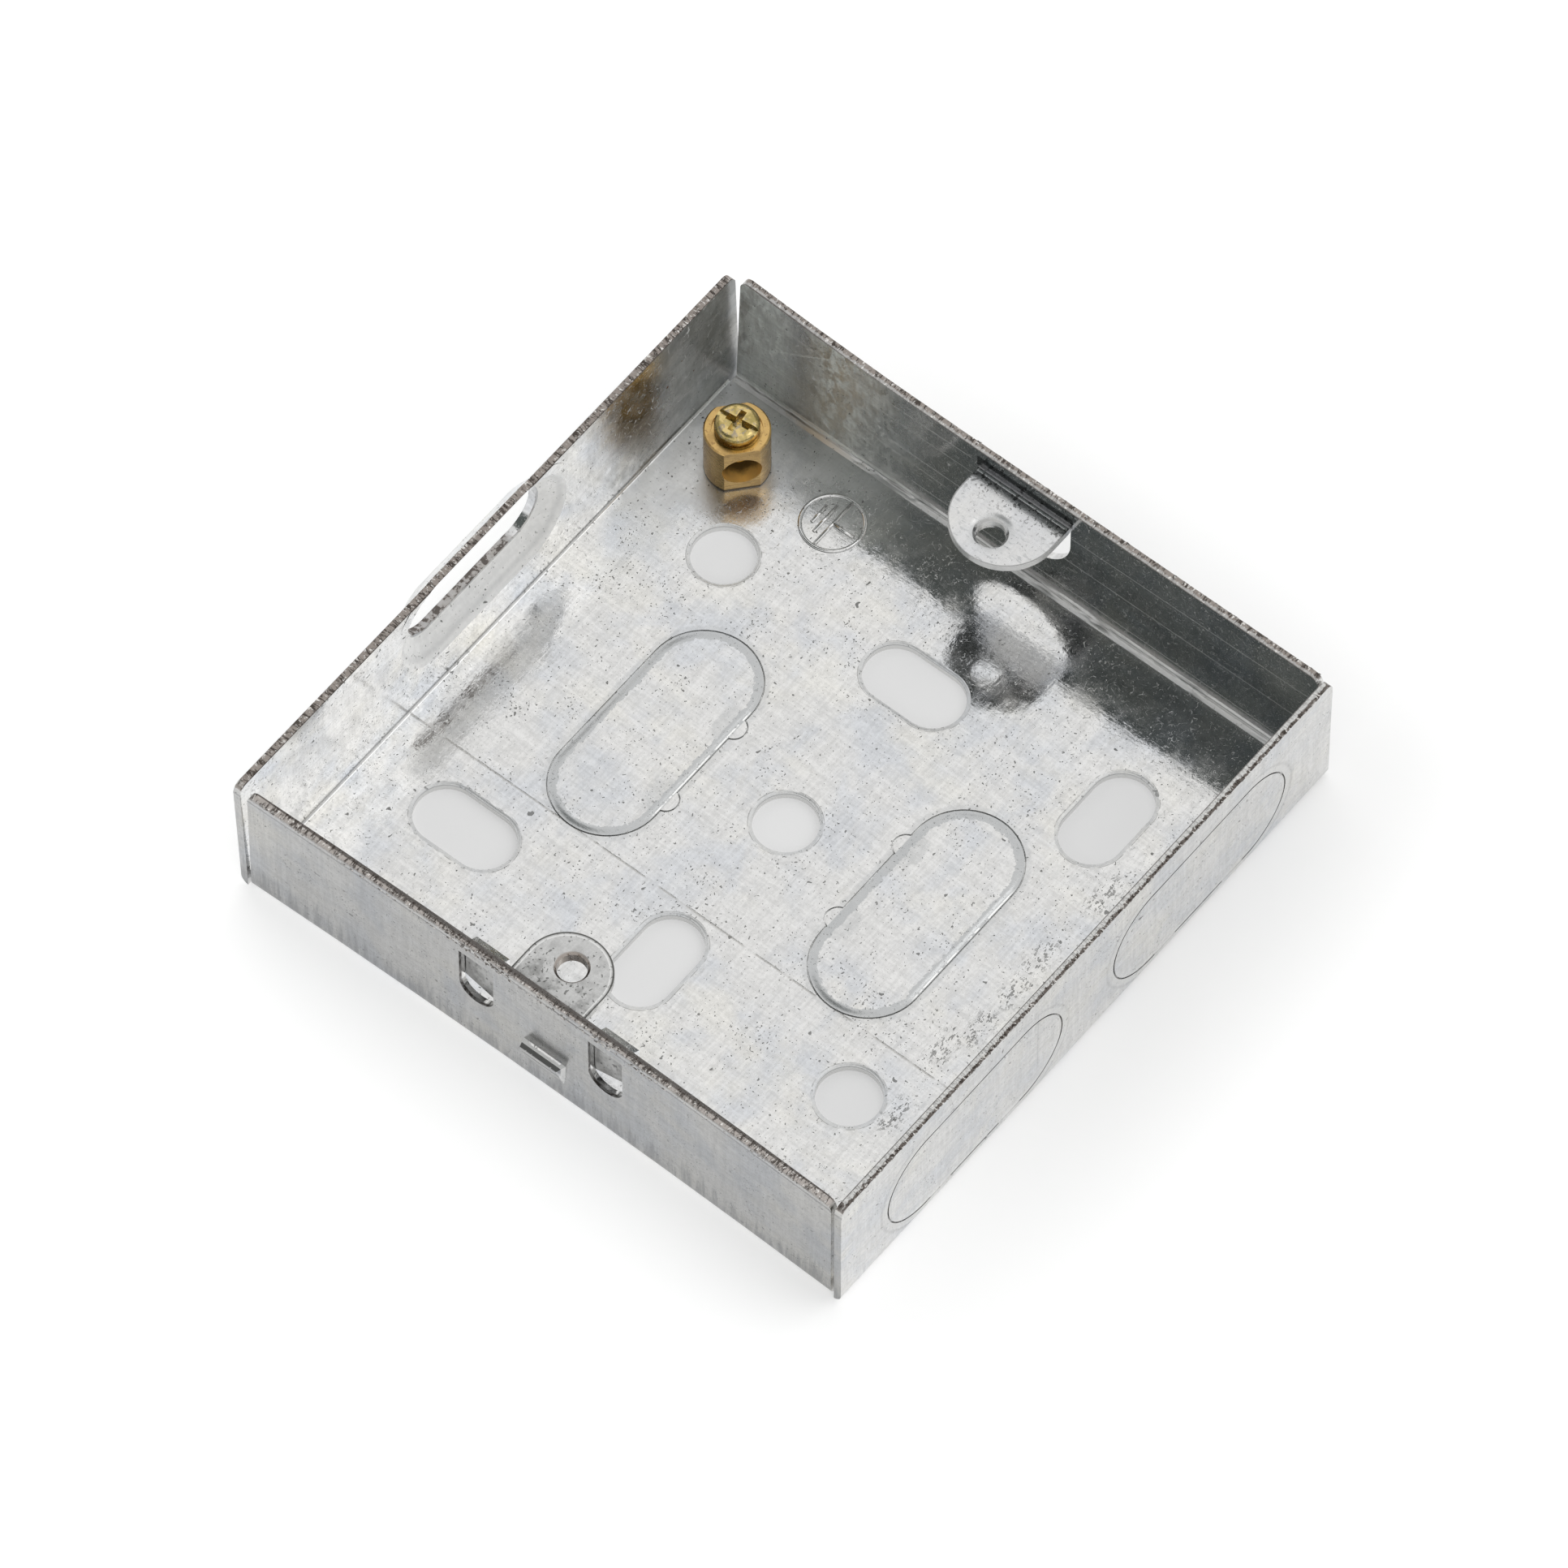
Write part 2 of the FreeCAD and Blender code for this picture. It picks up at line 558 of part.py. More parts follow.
for name, toward in (("rear", "1"), ("front", "-1")):
    for face, level in (("inside", "sheet"), ("outside", "0")):
        shear_sketch = make_sketch(shell, f"{name}_knock_out_{face}", "XY_Plane", level)
        lobed_outline(shear_sketch, toward, "shear_wide / 2")
        lobed_outline(shear_sketch, toward, "-shear_wide / 2")
        extrude(shell, "Pocket", shear_sketch, "2 * shear_deep", f"{name}_knock_out_{face}_line")


def tied_outline(sketch, middle):
    """Sheared line of a wall knock-out, in three runs between its two ties."""
    inner = "(knock_wide / 2 - shear_wide / 2)"
    outer = "(knock_wide / 2 + shear_wide / 2)"
    tie_in = "(lobe_place - tie_wide / 2)"
    tie_out = "(lobe_place + tie_wide / 2)"
    box_outline(sketch, f"{middle} - {tie_in}", f"{middle} + {tie_in}",
                f"knock_level - {outer}", f"knock_level - {inner}")
    right = f"{middle} + knock_reach"
    left = f"{middle} - knock_reach"
    outline(sketch, [
        (f"{middle} + {tie_out}", f"knock_level - {outer}"),
        (right, f"knock_level - {outer}", "x", right, "right"),
        (right, f"knock_level + {outer}"),
        (left, f"knock_level + {outer}", "x", left, "right"),
        (left, f"knock_level - {outer}"),
        (f"{middle} - {tie_out}", f"knock_level - {outer}"),
        (f"{middle} - {tie_out}", f"knock_level - {inner}"),
        (left, f"knock_level - {inner}", "x", left, "left"),
        (left, f"knock_level + {inner}"),
        (right, f"knock_level + {inner}", "x", right, "left"),
        (right, f"knock_level - {inner}"),
        (f"{middle} + {tie_out}", f"knock_level - {inner}"),
    ])


for face, place in (("inside", "half_y - sheet"), ("outside", "half_y")):
    wall_sketch = make_sketch(shell, f"wall_knock_outs_{face}", "XZ_Plane", place)
    tied_outline(wall_sketch, "knock_column")
    tied_outline(wall_sketch, "-knock_column")
    extrude(shell, "Pocket", wall_sketch, "2 * shear_deep", f"wall_knock_outs_{face}_line")

# Countersunk hole for the earth terminal's rivet
rivet_sketch = make_sketch(shell, "rivet_hole", "XY_Plane")
circle(rivet_sketch, "post_x", "post_y", "shank_radius + shank_gap")
extrude(shell, "Pocket", rivet_sketch, "4 * sheet", "rivet_hole_cut")
rivet_width = 2 * number("shank_radius + shank_gap")
countersink(shell, "rivet_spread", "rivet_countersink", lambda edge: (
    edge.BoundBox.ZMax < tiny and abs(edge.BoundBox.XLength - rivet_width) < tiny))

# Adjustable lug: a pressed plate whose wings slide behind the tabs

loose = make_body("adjustable_lug")
wing_sketch = make_sketch(loose, "wing_outline", "YZ_Plane", "tongue_out")
outline(wing_sketch, [
    ("tongue_rest - wing_foot_half", "wing_foot"),
    ("tongue_rest + wing_foot_half", "wing_foot"),
    ("tongue_rest + wing_span", "wing_low"),
    ("tongue_rest + wing_span", "tongue_bend_z"),
    ("tongue_rest - wing_span", "tongue_bend_z"),
    ("tongue_rest - wing_span", "wing_low"),
])
extrude(loose, "Pad", wing_sketch, "sheet", "wings", "One side")
tongue_sketch = make_sketch(loose, "tongue_section", "XZ_Plane", "-tongue_rest")
outline(tongue_sketch, [
    ("tongue_out", "tongue_bend_z - sheet"),
    ("tongue_out + sheet", "tongue_bend_z - sheet"),
    ("tongue_out + sheet", "tongue_bend_z", "x", "tongue_bend_x", "left"),
    ("tongue_bend_x", "lug_under"),
    ("tongue_nose - hole_x", "lug_under"),
    ("tongue_nose - hole_x", "lug_top"),
    ("tongue_bend_x", "lug_top", "x", "tongue_bend_x", "right"),
    ("tongue_out", "tongue_bend_z"),
])
extrude(loose, "Pad", tongue_sketch, "2 * tongue_half", "tongue")
tongue_tip = number("tongue_nose - hole_x")
fillet(loose, "tongue_half - 0.05", "tongue_nose_round", lambda edge: (
    abs(edge.BoundBox.XMin - tongue_tip) < tiny
    and abs(edge.BoundBox.XMax - tongue_tip) < tiny
    and abs(edge.BoundBox.ZLength - sheet_thick) < tiny))
tapped_hole(loose, "-hole_x", "tongue_rest", "loose_tap")

# Earth terminal: turned brass pillar with two flats, riveted through the back plate

post = make_body("earth_terminal_post")
post_sketch = make_sketch(post, "post_section", "XZ_Plane")
outline(post_sketch, [
    ("0", "0"),
    ("shank_radius + rivet_spread", "0"),
    ("shank_radius", "rivet_spread"),
    ("shank_radius", "sheet"),
    ("post_radius", "sheet"),
    ("post_radius", "post_top - post_edge"),
    ("post_radius - post_edge", "post_top"),
    ("0", "post_top"),
])
revolve(post, post_sketch, "pillar")
flat_sketch = make_sketch(post, "flats", "XY_Plane", "sheet")
for low_x, high_x in (("post_flat", "post_radius * 2"), ("-post_radius * 2", "-post_flat")):
    box_outline(flat_sketch, low_x, high_x, "-post_radius", "post_radius")
extrude(post, "Pocket", flat_sketch, "post_top", "flats_cut", "One side", backwards=True)
wire_sketch = make_sketch(post, "wire_hole", "YZ_Plane")
circle(wire_sketch, "0", "wire_level", "wire_radius")
extrude(post, "Pocket", wire_sketch, "4 * post_radius", "wire_hole_cut")
bore_sketch = make_sketch(post, "screw_bore", "XY_Plane", "post_top")
circle(bore_sketch, "0", "0", "thread_radius + thread_gap")
extrude(post, "Pocket", bore_sketch, "post_top - wire_level", "screw_bore_cut", "One side")
seat_sketch = make_sketch(post, "head_seat", "XY_Plane", "post_top")
circle(seat_sketch, "0", "0", "seat_radius")
extrude(post, "Pocket", seat_sketch, "2 * seat_deep", "head_seat_cut")

# Terminal screw: pan head with a slot and a cross recess

screw = make_body("terminal_screw")
screw_sketch = make_sketch(screw, "screw_section", "XZ_Plane")
outline(screw_sketch, [
    ("0", "screw_tip"),
    ("thread_radius - screw_point", "screw_tip"),
    ("thread_radius", "screw_tip + screw_point"),
    ("thread_radius", "head_under"),
    ("head_radius", "head_under"),
    ("head_radius", "head_top - head_crown", "x", "head_radius - head_crown", "right"),
    ("head_radius - head_crown", "head_top"),
    ("0", "head_top"),
])
revolve(screw, screw_sketch, "shank_and_head")
drive_sketch = make_sketch(screw, "driver_slot", "XY_Plane", "head_top")
slot_half = "driver_slot_wide / 2"
box_outline(drive_sketch, "-2 * head_radius", "2 * head_radius", f"-{slot_half}", slot_half)
extrude(screw, "Pocket", drive_sketch, "2 * driver_slot_deep", "driver_slot_cut")
for name, long, wide in (("along", "driver_cross_long", "driver_cross_wide"),
                         ("across", "driver_cross_wide", "driver_cross_long")):
    arm_sketch = make_sketch(screw, "driver_cross_" + name, "XY_Plane", "head_top")
    box_outline(arm_sketch, f"-{long} / 2", f"{long} / 2", f"-{wide} / 2", f"{wide} / 2")
    extrude(screw, "Pocket", arm_sketch, "2 * driver_cross_deep", "driver_cross_cut_" + name)

for body, turn in ((post, "post_turn"), (screw, "screw_turn")):
    axis_place = Vector(number("post_x"), number("post_y"), 0)
    body.Placement = FreeCAD.Placement(axis_place, FreeCAD.Rotation(Vector(0, 0, 1), number(turn)))
    body.setExpression("Placement.Base.x", bind("post_x"))
    body.setExpression("Placement.Base.y", bind("post_y"))
    body.setExpression("Placement.Rotation.Angle", bind(turn))

doc.recompute()

# Every feature must have built, and every sub-part must be one sound solid
for item in doc.Objects:
    if "Invalid" in item.State or "Error" in item.State:
        raise RuntimeError(f"{item.Name} did not build: {item.State}")
parts = [shell, loose, post, screw]
for part in parts:
    if part.Shape.isNull() or not part.Shape.isValid() or len(part.Shape.Solids) != 1:
        raise RuntimeError(f"{part.Label} is not one sound solid")

os.makedirs("parts", exist_ok=True)
for part in parts:
    part.Shape.exportStep(os.path.join("parts", part.Label + ".step"))
    print(part.Label, "volume", round(part.Shape.Volume, 1), "mm3")
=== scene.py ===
import math
import random

import bmesh
import bpy
from mathutils import Matrix, Vector


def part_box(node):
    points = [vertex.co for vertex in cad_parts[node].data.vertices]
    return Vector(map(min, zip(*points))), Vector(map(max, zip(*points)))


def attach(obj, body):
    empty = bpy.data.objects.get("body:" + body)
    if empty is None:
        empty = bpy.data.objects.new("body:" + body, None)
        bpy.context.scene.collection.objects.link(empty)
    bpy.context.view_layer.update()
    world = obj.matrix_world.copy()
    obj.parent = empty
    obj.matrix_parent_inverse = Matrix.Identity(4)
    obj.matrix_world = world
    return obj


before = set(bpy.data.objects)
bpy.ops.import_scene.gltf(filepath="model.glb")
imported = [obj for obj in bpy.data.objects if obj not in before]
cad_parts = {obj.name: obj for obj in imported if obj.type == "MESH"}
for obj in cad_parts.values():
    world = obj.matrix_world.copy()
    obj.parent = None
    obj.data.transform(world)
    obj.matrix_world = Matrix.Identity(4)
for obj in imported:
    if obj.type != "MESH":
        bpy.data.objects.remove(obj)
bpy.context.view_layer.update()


print("frame loaded:", ", ".join(sorted(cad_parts)))

mm = 0.001
scene = bpy.context.scene
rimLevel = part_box("box_shell")[1].z / mm
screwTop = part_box("terminal_screw")[1].z / mm


# Small helpers for node trees: a value is either a number, a colour or another node's socket

def wire(tree, value, socket):
    if isinstance(value, bpy.types.NodeSocket):
        tree.links.new(value, socket)
    else:
        socket.default_value = value


def newNode(tree, kind):
    return tree.nodes.new("ShaderNode" + kind)


def calc(tree, operation, first, second=0.0):
    node = newNode(tree, "Math")
    node.operation = operation
    for value, socket in zip((first, second), node.inputs):
        wire(tree, value, socket)
    return node.outputs[0]


def vectorCalc(tree, operation, first, second=(0.0, 0.0, 0.0)):
    node = newNode(tree, "VectorMath")
    node.operation = operation
    wire(tree, first, node.inputs[0])
    wire(tree, second, node.inputs[1])
    return node.outputs["Value" if operation == "DOT_PRODUCT" else "Vector"]


def between(tree, value, low, high, toLow=0.0, toHigh=1.0):  # a soft step from low to high
    node = newNode(tree, "MapRange")
    node.interpolation_type = "SMOOTHSTEP"
    for given, name in ((value, "Value"), (low, "From Min"), (high, "From Max"), (toLow, "To Min"), (toHigh, "To Max")):
        wire(tree, given, node.inputs[name])
    return node.outputs["Result"]


def minus(tree, first, second):
    return calc(tree, "SUBTRACT", first, second)


def sizeOf(tree, value):
    return calc(tree, "ABSOLUTE", value)


def ridge(tree, value, centre, halfWidth):  # 1 on the line, 0 beyond half a width
    return between(tree, sizeOf(tree, minus(tree, value, centre)), halfWidth, 0.0)


def combine(tree, operation, values):
    result = values[0]
    for value in values[1:]:
        result = calc(tree, operation, result, value)
    return result


def times(tree, *values):
    return combine(tree, "MULTIPLY", values)


def plus(tree, *values):
    return combine(tree, "ADD", values)


def most(tree, *values):
    return combine(tree, "MAXIMUM", values)


def least(tree, *values):
    return combine(tree, "MINIMUM", values)


def distance(tree, across, up):
    return calc(tree, "SQRT", plus(tree, times(tree, across, across), times(tree, up, up)))


def fromPoint(tree, across, up, point):
    return distance(tree, minus(tree, across, point[0]), minus(tree, up, point[1]))


def cloud(tree, place, stretch, detail=2.0, roughness=0.5, twist=0.0):  # one stretch, or one for each axis
    node = newNode(tree, "TexNoise")
    node.inputs["Scale"].default_value = 1.0
    node.inputs["Detail"].default_value = detail
    node.inputs["Roughness"].default_value = roughness
    node.inputs["Distortion"].default_value = twist
    stretches = (stretch,) * 3 if isinstance(stretch, float) else stretch
    wire(tree, vectorCalc(tree, "MULTIPLY", place, stretches), node.inputs["Vector"])
    return node.outputs["Fac"]


def blendColour(tree, amount, first, second, kind="MIX"):
    node = newNode(tree, "Mix")
    node.data_type = "RGBA"
    node.blend_type = kind
    wire(tree, amount, node.inputs[0])
    for value, socket in ((first, node.inputs[6]), (second, node.inputs[7])):
        wire(tree, value if isinstance(value, bpy.types.NodeSocket) else (*value, 1.0), socket)
    return node.outputs[2]


def parts(tree, vector):
    node = newNode(tree, "SeparateXYZ")
    wire(tree, vector, node.inputs[0])
    return node.outputs[0], node.outputs[1], node.outputs[2]


def newGroup(name, output, **inputs):  # an input without a value is a place
    tree = bpy.data.node_groups.new(name, "ShaderNodeTree")
    for inputName, value in inputs.items():
        kind = "Vector" if value is None else "Float"
        socket = tree.interface.new_socket(inputName, in_out="INPUT", socket_type="NodeSocket" + kind)
        if value is not None:
            socket.default_value = value
    tree.interface.new_socket(output, in_out="OUTPUT", socket_type="NodeSocketFloat")
    return tree, tree.nodes.new("NodeGroupInput").outputs, tree.nodes.new("NodeGroupOutput").inputs[output]


def useGroup(tree, group, **values):
    node = newNode(tree, "Group")
    node.node_tree = group
    for name, value in values.items():
        wire(tree, value, node.inputs[name])
    return node.outputs[0]


def toVector(tree, *values, kind="XYZ"):  # one value for all three parts, or three values
    node = newNode(tree, "Combine" + kind)
    for value, socket in zip(values * 3 if len(values) == 1 else values, node.inputs):
        wire(tree, value, socket)
    return node.outputs[0]


# Effects that several finishes share

def makeBrushedGrain():  # fine lines along all three axes, so that each face shows a cross weave
    tree, given, result = newGroup("brushedGrain", "Weave", Place=None, Fineness=3.0, Length=0.25)
    fine, long = given["Fineness"], given["Length"]
    lines = []
    for axis in range(3):
        stretch = toVector(tree, *(long if other == axis else fine for other in range(3)))
        lines.append(cloud(tree, given["Place"], stretch, 1.5, 0.6))
    wire(tree, between(tree, plus(tree, *lines), 1.2, 1.8), result)
    return tree


def makeSpecks():  # small dark spots with ragged edges, thicker in some patches than in others
    tree, given, result = newGroup("specks", "Mask", Place=None, Fineness=2.5, Limit=0.7, Patch=0.1)
    spots = cloud(tree, given["Place"], toVector(tree, given["Fineness"]), 1.0, 0.6, 0.4)
    moved = vectorCalc(tree, "ADD", given["Place"], (13.0, 5.0, 3.0))
    patch = cloud(tree, moved, 0.22, 3.0, 0.65)
    eased = times(tree, between(tree, patch, 0.4, 0.72), given["Patch"])
    limit = minus(tree, given["Limit"], eased)
    over = minus(tree, spots, limit)
    wire(tree, between(tree, over, 0.0, 0.035), result)
    return tree


def makeScribbles():  # thin light scratches that wander
    tree, given, result = newGroup("scribbles", "Mask", Place=None, Fineness=0.8, Width=0.012)
    lines = []
    for offset in ((0.0, 0.0, 0.0), (31.0, 17.0, 5.0)):
        moved = vectorCalc(tree, "ADD", given["Place"], offset)
        wave = cloud(tree, moved, toVector(tree, given["Fineness"]), 1.0, 0.5, 0.8)
        away = sizeOf(tree, minus(tree, wave, 0.5))
        line = between(tree, away, given["Width"], 0.0)
        broken = between(tree, cloud(tree, moved, 1.4, 2.0), 0.5, 0.6)
        lines.append(times(tree, line, broken))
    wire(tree, most(tree, *lines), result)
    return tree


def makeObroundEdge():  # signed distance to a slot outline, below 0 inside
    tree, given, result = newGroup("obroundEdge", "Distance", Across=0.0, Up=0.0, CentreAcross=0.0, CentreUp=0.0,
                                   HalfStraight=1.0, Radius=1.0)
    across = minus(tree, given["Across"], given["CentreAcross"])
    up = minus(tree, given["Up"], given["CentreUp"])
    beyond = minus(tree, sizeOf(tree, across), given["HalfStraight"])
    beyond = most(tree, beyond, 0.0)
    away = minus(tree, distance(tree, beyond, up), given["Radius"])
    wire(tree, away, result)
    return tree


def makeScratch():  # one straight scratch from a point, or a soft streak where it is wide
    tree, given, result = newGroup("scratch", "Mask", Across=0.0, Up=0.0, FromAcross=0.0, FromUp=0.0, Heading=0.0,
                                   Length=10.0, Width=0.1)
    across = minus(tree, given["Across"], given["FromAcross"])
    up = minus(tree, given["Up"], given["FromUp"])
    cosine = calc(tree, "COSINE", given["Heading"])
    sine = calc(tree, "SINE", given["Heading"])
    along = plus(tree, times(tree, across, cosine), times(tree, up, sine))
    aside = minus(tree, times(tree, up, cosine), times(tree, across, sine))
    end = minus(tree, given["Length"], 1.5)
    inLength = times(tree, between(tree, along, -0.5, 1.0), between(tree, along, given["Length"], end))
    line = between(tree, sizeOf(tree, aside), given["Width"], 0.0)
    wire(tree, times(tree, inLength, line), result)
    return tree


brushedGrain = makeBrushedGrain()
specks = makeSpecks()
scribbles = makeScribbles()
obroundEdge = makeObroundEdge()
scratch = makeScratch()
print("shared effects built")


def toColour(tree, value):
    return toVector(tree, value, kind="Color")


def blendValue(tree, amount, first, second):
    node = newNode(tree, "Mix")
    node.data_type = "FLOAT"
    for value, socket in ((amount, node.inputs[0]), (first, node.inputs[2]), (second, node.inputs[3])):
        wire(tree, value, socket)
    return node.outputs[0]


def startLook(name, colour, roughness):  # a metal finish, built up in layers
    material = bpy.data.materials.new(name)
    material.use_nodes = True
    tree = material.node_tree
    coordinates = newNode(tree, "TexCoord")
    place = vectorCalc(tree, "MULTIPLY", coordinates.outputs["Object"], (1000.0, 1000.0, 1000.0))
    facing = newNode(tree, "NewGeometry").outputs["True Normal"]
    look = {"material": material, "tree": tree, "place": place, "at": parts(tree, place),
            "facing": parts(tree, facing), "colour": colour, "roughness": roughness, "metal": 1.0, "height": 0.0}
    return look


def lay(look, mask, colour=None, share=1.0, rough=None, lift=0.0, metal=None):  # one more layer where the mask is
    tree = look["tree"]
    if colour is not None:
        look["colour"] = blendColour(tree, times(tree, mask, share), look["colour"], colour)
    if rough is not None:
        look["roughness"] = blendValue(tree, mask, look["roughness"], rough)
    if metal is not None:
        look["metal"] = blendValue(tree, mask, look["metal"], metal)
    if lift:
        look["height"] = plus(tree, look["height"], times(tree, mask, lift))


def shade(look, mask, factor):  # darker or lighter where the mask is
    tree = look["tree"]
    amount = plus(tree, times(tree, mask, factor - 1.0), 1.0)
    look["colour"] = blendColour(tree, 1.0, look["colour"], toColour(tree, amount), "MULTIPLY")


def finishLook(look):  # the height is in mm
    tree = look["tree"]
    surface = tree.nodes["Principled BSDF"]
    wire(tree, look["colour"], surface.inputs["Base Color"])
    wire(tree, look["roughness"], surface.inputs["Roughness"])
    wire(tree, look["metal"], surface.inputs["Metallic"])
    bump = newNode(tree, "Bump")
    bump.inputs["Distance"].default_value = mm
    wire(tree, look["height"], bump.inputs["Height"])
    wire(tree, bump.outputs[0], surface.inputs["Normal"])
    return look["material"]


# The galvanised sheet: box shell and earth sign

sheetFinish = {
    "bright": (0.635, 0.632, 0.625),
    "bluish": (0.545, 0.562, 0.59),
    "creamy": (0.665, 0.655, 0.625),
    "chalky": (0.66, 0.66, 0.65),
    "pit": (0.10, 0.10, 0.095),
    "soft": (0.42, 0.43, 0.435),
    "smooth": 0.07,
    "hazy": 0.13,
    "scribble": 0.5,
    "plateTop": 0.8,
    "lowFrom": 1.6,
    "lowTo": 2.2,
}

plateMarks = {
    "knockOuts": ((0.0, 15.5), (0.0, -15.5)),
    "knockHalfStraight": 7.05,
    "knockRadius": 5.65,
    "lobes": ((5.0, 10.25), (-5.0, 10.25), (5.0, -10.25), (-5.0, -10.25)),
    "lobeRadius": 1.3,
    "slugBand": 0.95,
    "slugRoll": 0.13,
    "outerBand": 0.55,
    "slotHalfStraight": 2.225,
    "holeRadius": 3.175,
    "holes": ((19.0, 22.8), (-19.0, -22.8), (0.0, 0.0)),
    "slotsAlongX": ((19.0, -22.8), (-19.0, 0.0)),
    "slotsAlongY": ((19.0, 0.0), (-19.0, 22.8)),
    "holeRoll": 0.38,
    "pressLine": -12.7,
    "press": (0.30, 0.29, 0.27),
    "paintedHighlightLines": (10.05, -20.95),
    "paintedLight": (0.98, 0.98, 0.97),
    "clusters": ((3.4, -27.3), (-0.8, -27.6), (-5.9, -27.6), (-9.4, -26.3), (-17.9, -27.3), (12.4, -27.7)),
}

wallMarks = {
    "knockOuts": ((-16.5, 7.3), (16.5, 7.3)),
    "knockHalfStraight": 6.93,
    "knockRadius": 5.73,
    "foldWidth": 0.7,
    "archCentre": (-1.1, 11.0),
    "archHalfStraight": 6.25,
    "archRadius": 3.0,
    "archStretch": 3.18,
    "archFlatten": 0.38,
    "foldInnerX": 35.2,
    "scoreX": -7.4,
    "frontPaintedLight": 1.03,
    "leftPaintedShade": 0.68,
    "drawn": (0.95, 0.95, 0.94),
    "ledgePaintedLight": (0.80, 0.80, 0.79),
    "scoopPaintedLight": (0.9, 0.9, 0.89),
    "dull": (0.60, 0.63, 0.60),
    "frost": (0.74, 0.78, 0.745),
    "streak": (0.20, 0.205, 0.215),
    "stain": (0.17, 0.185, 0.175),
    "rust": (0.22, 0.09, 0.035),
    "rustDots": ((25.7, 9.8, 0.22), (27.9, 11.6, 0.12), (24.6, 7.4, 0.1), (29.5, 8.1, 0.13)),
}

# each scratch inside the wall with the fixed lug: its start across and up, its heading in degrees, length and width;
# all lengths in this file's tables of values are in mm, but for the studio, the light and the camera
innerWallScratches = (
    (-33.0, 7.9, 0.0, 50.0, 0.12),
    (-30.0, 2.6, 1.0, 44.0, 0.1),
    (-34.0, 12.6, -1.0, 62.0, 0.08),
    (6.0, 14.4, -2.0, 26.0, 0.1),
    (22.0, 15.2, -38.0, 14.0, 0.16),
    (27.0, 8.2, 34.0, 9.0, 0.13),
    (9.0, 6.2, 2.0, 15.0, 0.1),
)

fixedLug = {
    "hole": (30.15, 0.0),
    "holeRadius": 1.5,
    "hollow": 2.5,
    "half": 5.4,
    "noseCentre": 32.4,
    "grey": (0.60, 0.60, 0.60),
    "edge": (0.85, 0.85, 0.84),
}

cutEdge = {
    "thick": 0.8,
    "outX": 36.0,
    "outY": 35.5,
    "lean": 0.45,
    "flare": 0.65,
    "flareFrom": 8.0,
    "flareTo": 34.85,
    "torn": (0.34, 0.305, 0.28),
    "tornLeft": (0.50, 0.465, 0.44),
    "tornDark": (0.05, 0.04, 0.034),
    "fleck": (0.86, 0.84, 0.81),
    "burnished": (0.40, 0.39, 0.38),
    "burnishedFront": (0.60, 0.60, 0.59),
    "holeWall": (0.78, 0.78, 0.77),
    "tornSoft": 0.06,
    "tornFrom": {"left": 0.05, "right": -0.1, "front": -0.1, "rear": -0.1},
    "tornTo": {"left": 0.9, "right": 0.42, "front": 0.3, "rear": 0.9},
}


def addZinc(look):  # grain, blotches, haze and specks of the zinc
    tree, place, finish = look["tree"], look["place"], sheetFinish
    blotch = between(tree, cloud(tree, place, (0.13, 0.17, 0.15), 3.0, 0.55, 0.4), 0.42, 0.68)
    moved = vectorCalc(tree, "ADD", place, (40.0, 7.0, 3.0))
    cream = between(tree, cloud(tree, moved, (0.16, 0.11, 0.16), 3.0, 0.6), 0.48, 0.7)
    lay(look, blotch, finish["bluish"], 0.8, lift=0.012)
    lay(look, cream, finish["creamy"], 0.8)
    fine = useGroup(tree, brushedGrain, Place=place, Fineness=3.6, Length=0.3)
    coarse = useGroup(tree, brushedGrain, Place=place, Fineness=1.3, Length=0.09)
    shadeBy = plus(tree, times(tree, fine, 0.14), times(tree, coarse, 0.10), 0.88)
    look["colour"] = blendColour(tree, 1.0, look["colour"], toColour(tree, shadeBy), "MULTIPLY")
    haze = between(tree, cloud(tree, place, 1.7, 3.0, 0.7), 0.45, 0.68)
    lay(look, haze, rough=finish["hazy"], lift=0.002)
    lay(look, times(tree, cream, 0.6), rough=0.22)
    lay(look, fine, lift=0.0015)
    lay(look, coarse, lift=0.002)
    dust = times(tree, between(tree, cloud(tree, place, 4.2, 1.0, 0.6), 0.69, 0.73),
                 between(tree, cloud(tree, moved, 0.3, 3.0, 0.7), 0.4, 0.6))
    lay(look, dust, finish["chalky"], 0.8, rough=0.6, metal=0.6)
    film = between(tree, cloud(tree, moved, 0.35, 4.0, 0.7), 0.42, 0.7)
    lay(look, times(tree, film, 0.6), rough=0.24)
    lines = useGroup(tree, scribbles, Place=place, Fineness=0.75, Width=0.011)
    lay(look, lines, finish["chalky"], 0.5, rough=finish["scribble"], metal=0.65)
    small = useGroup(tree, specks, Place=place, Fineness=4.0, Limit=0.725, Patch=0.08)
    large = useGroup(tree, specks, Place=vectorCalc(tree, "ADD", place, (3.0, 50.0, 9.0)),
                     Fineness=1.5, Limit=0.765, Patch=0.05)
    pits = most(tree, small, large)
    lay(look, pits, finish["pit"], 0.72, rough=0.45, lift=-0.02)
    look["pits"] = pits


def leastDistance(tree, across, up, centres, half, radius):
    return least(tree, *(
        useGroup(tree, obroundEdge, Across=across, Up=up, CentreAcross=centre[0], CentreUp=centre[1],
                 HalfStraight=half, Radius=radius) for centre in centres))


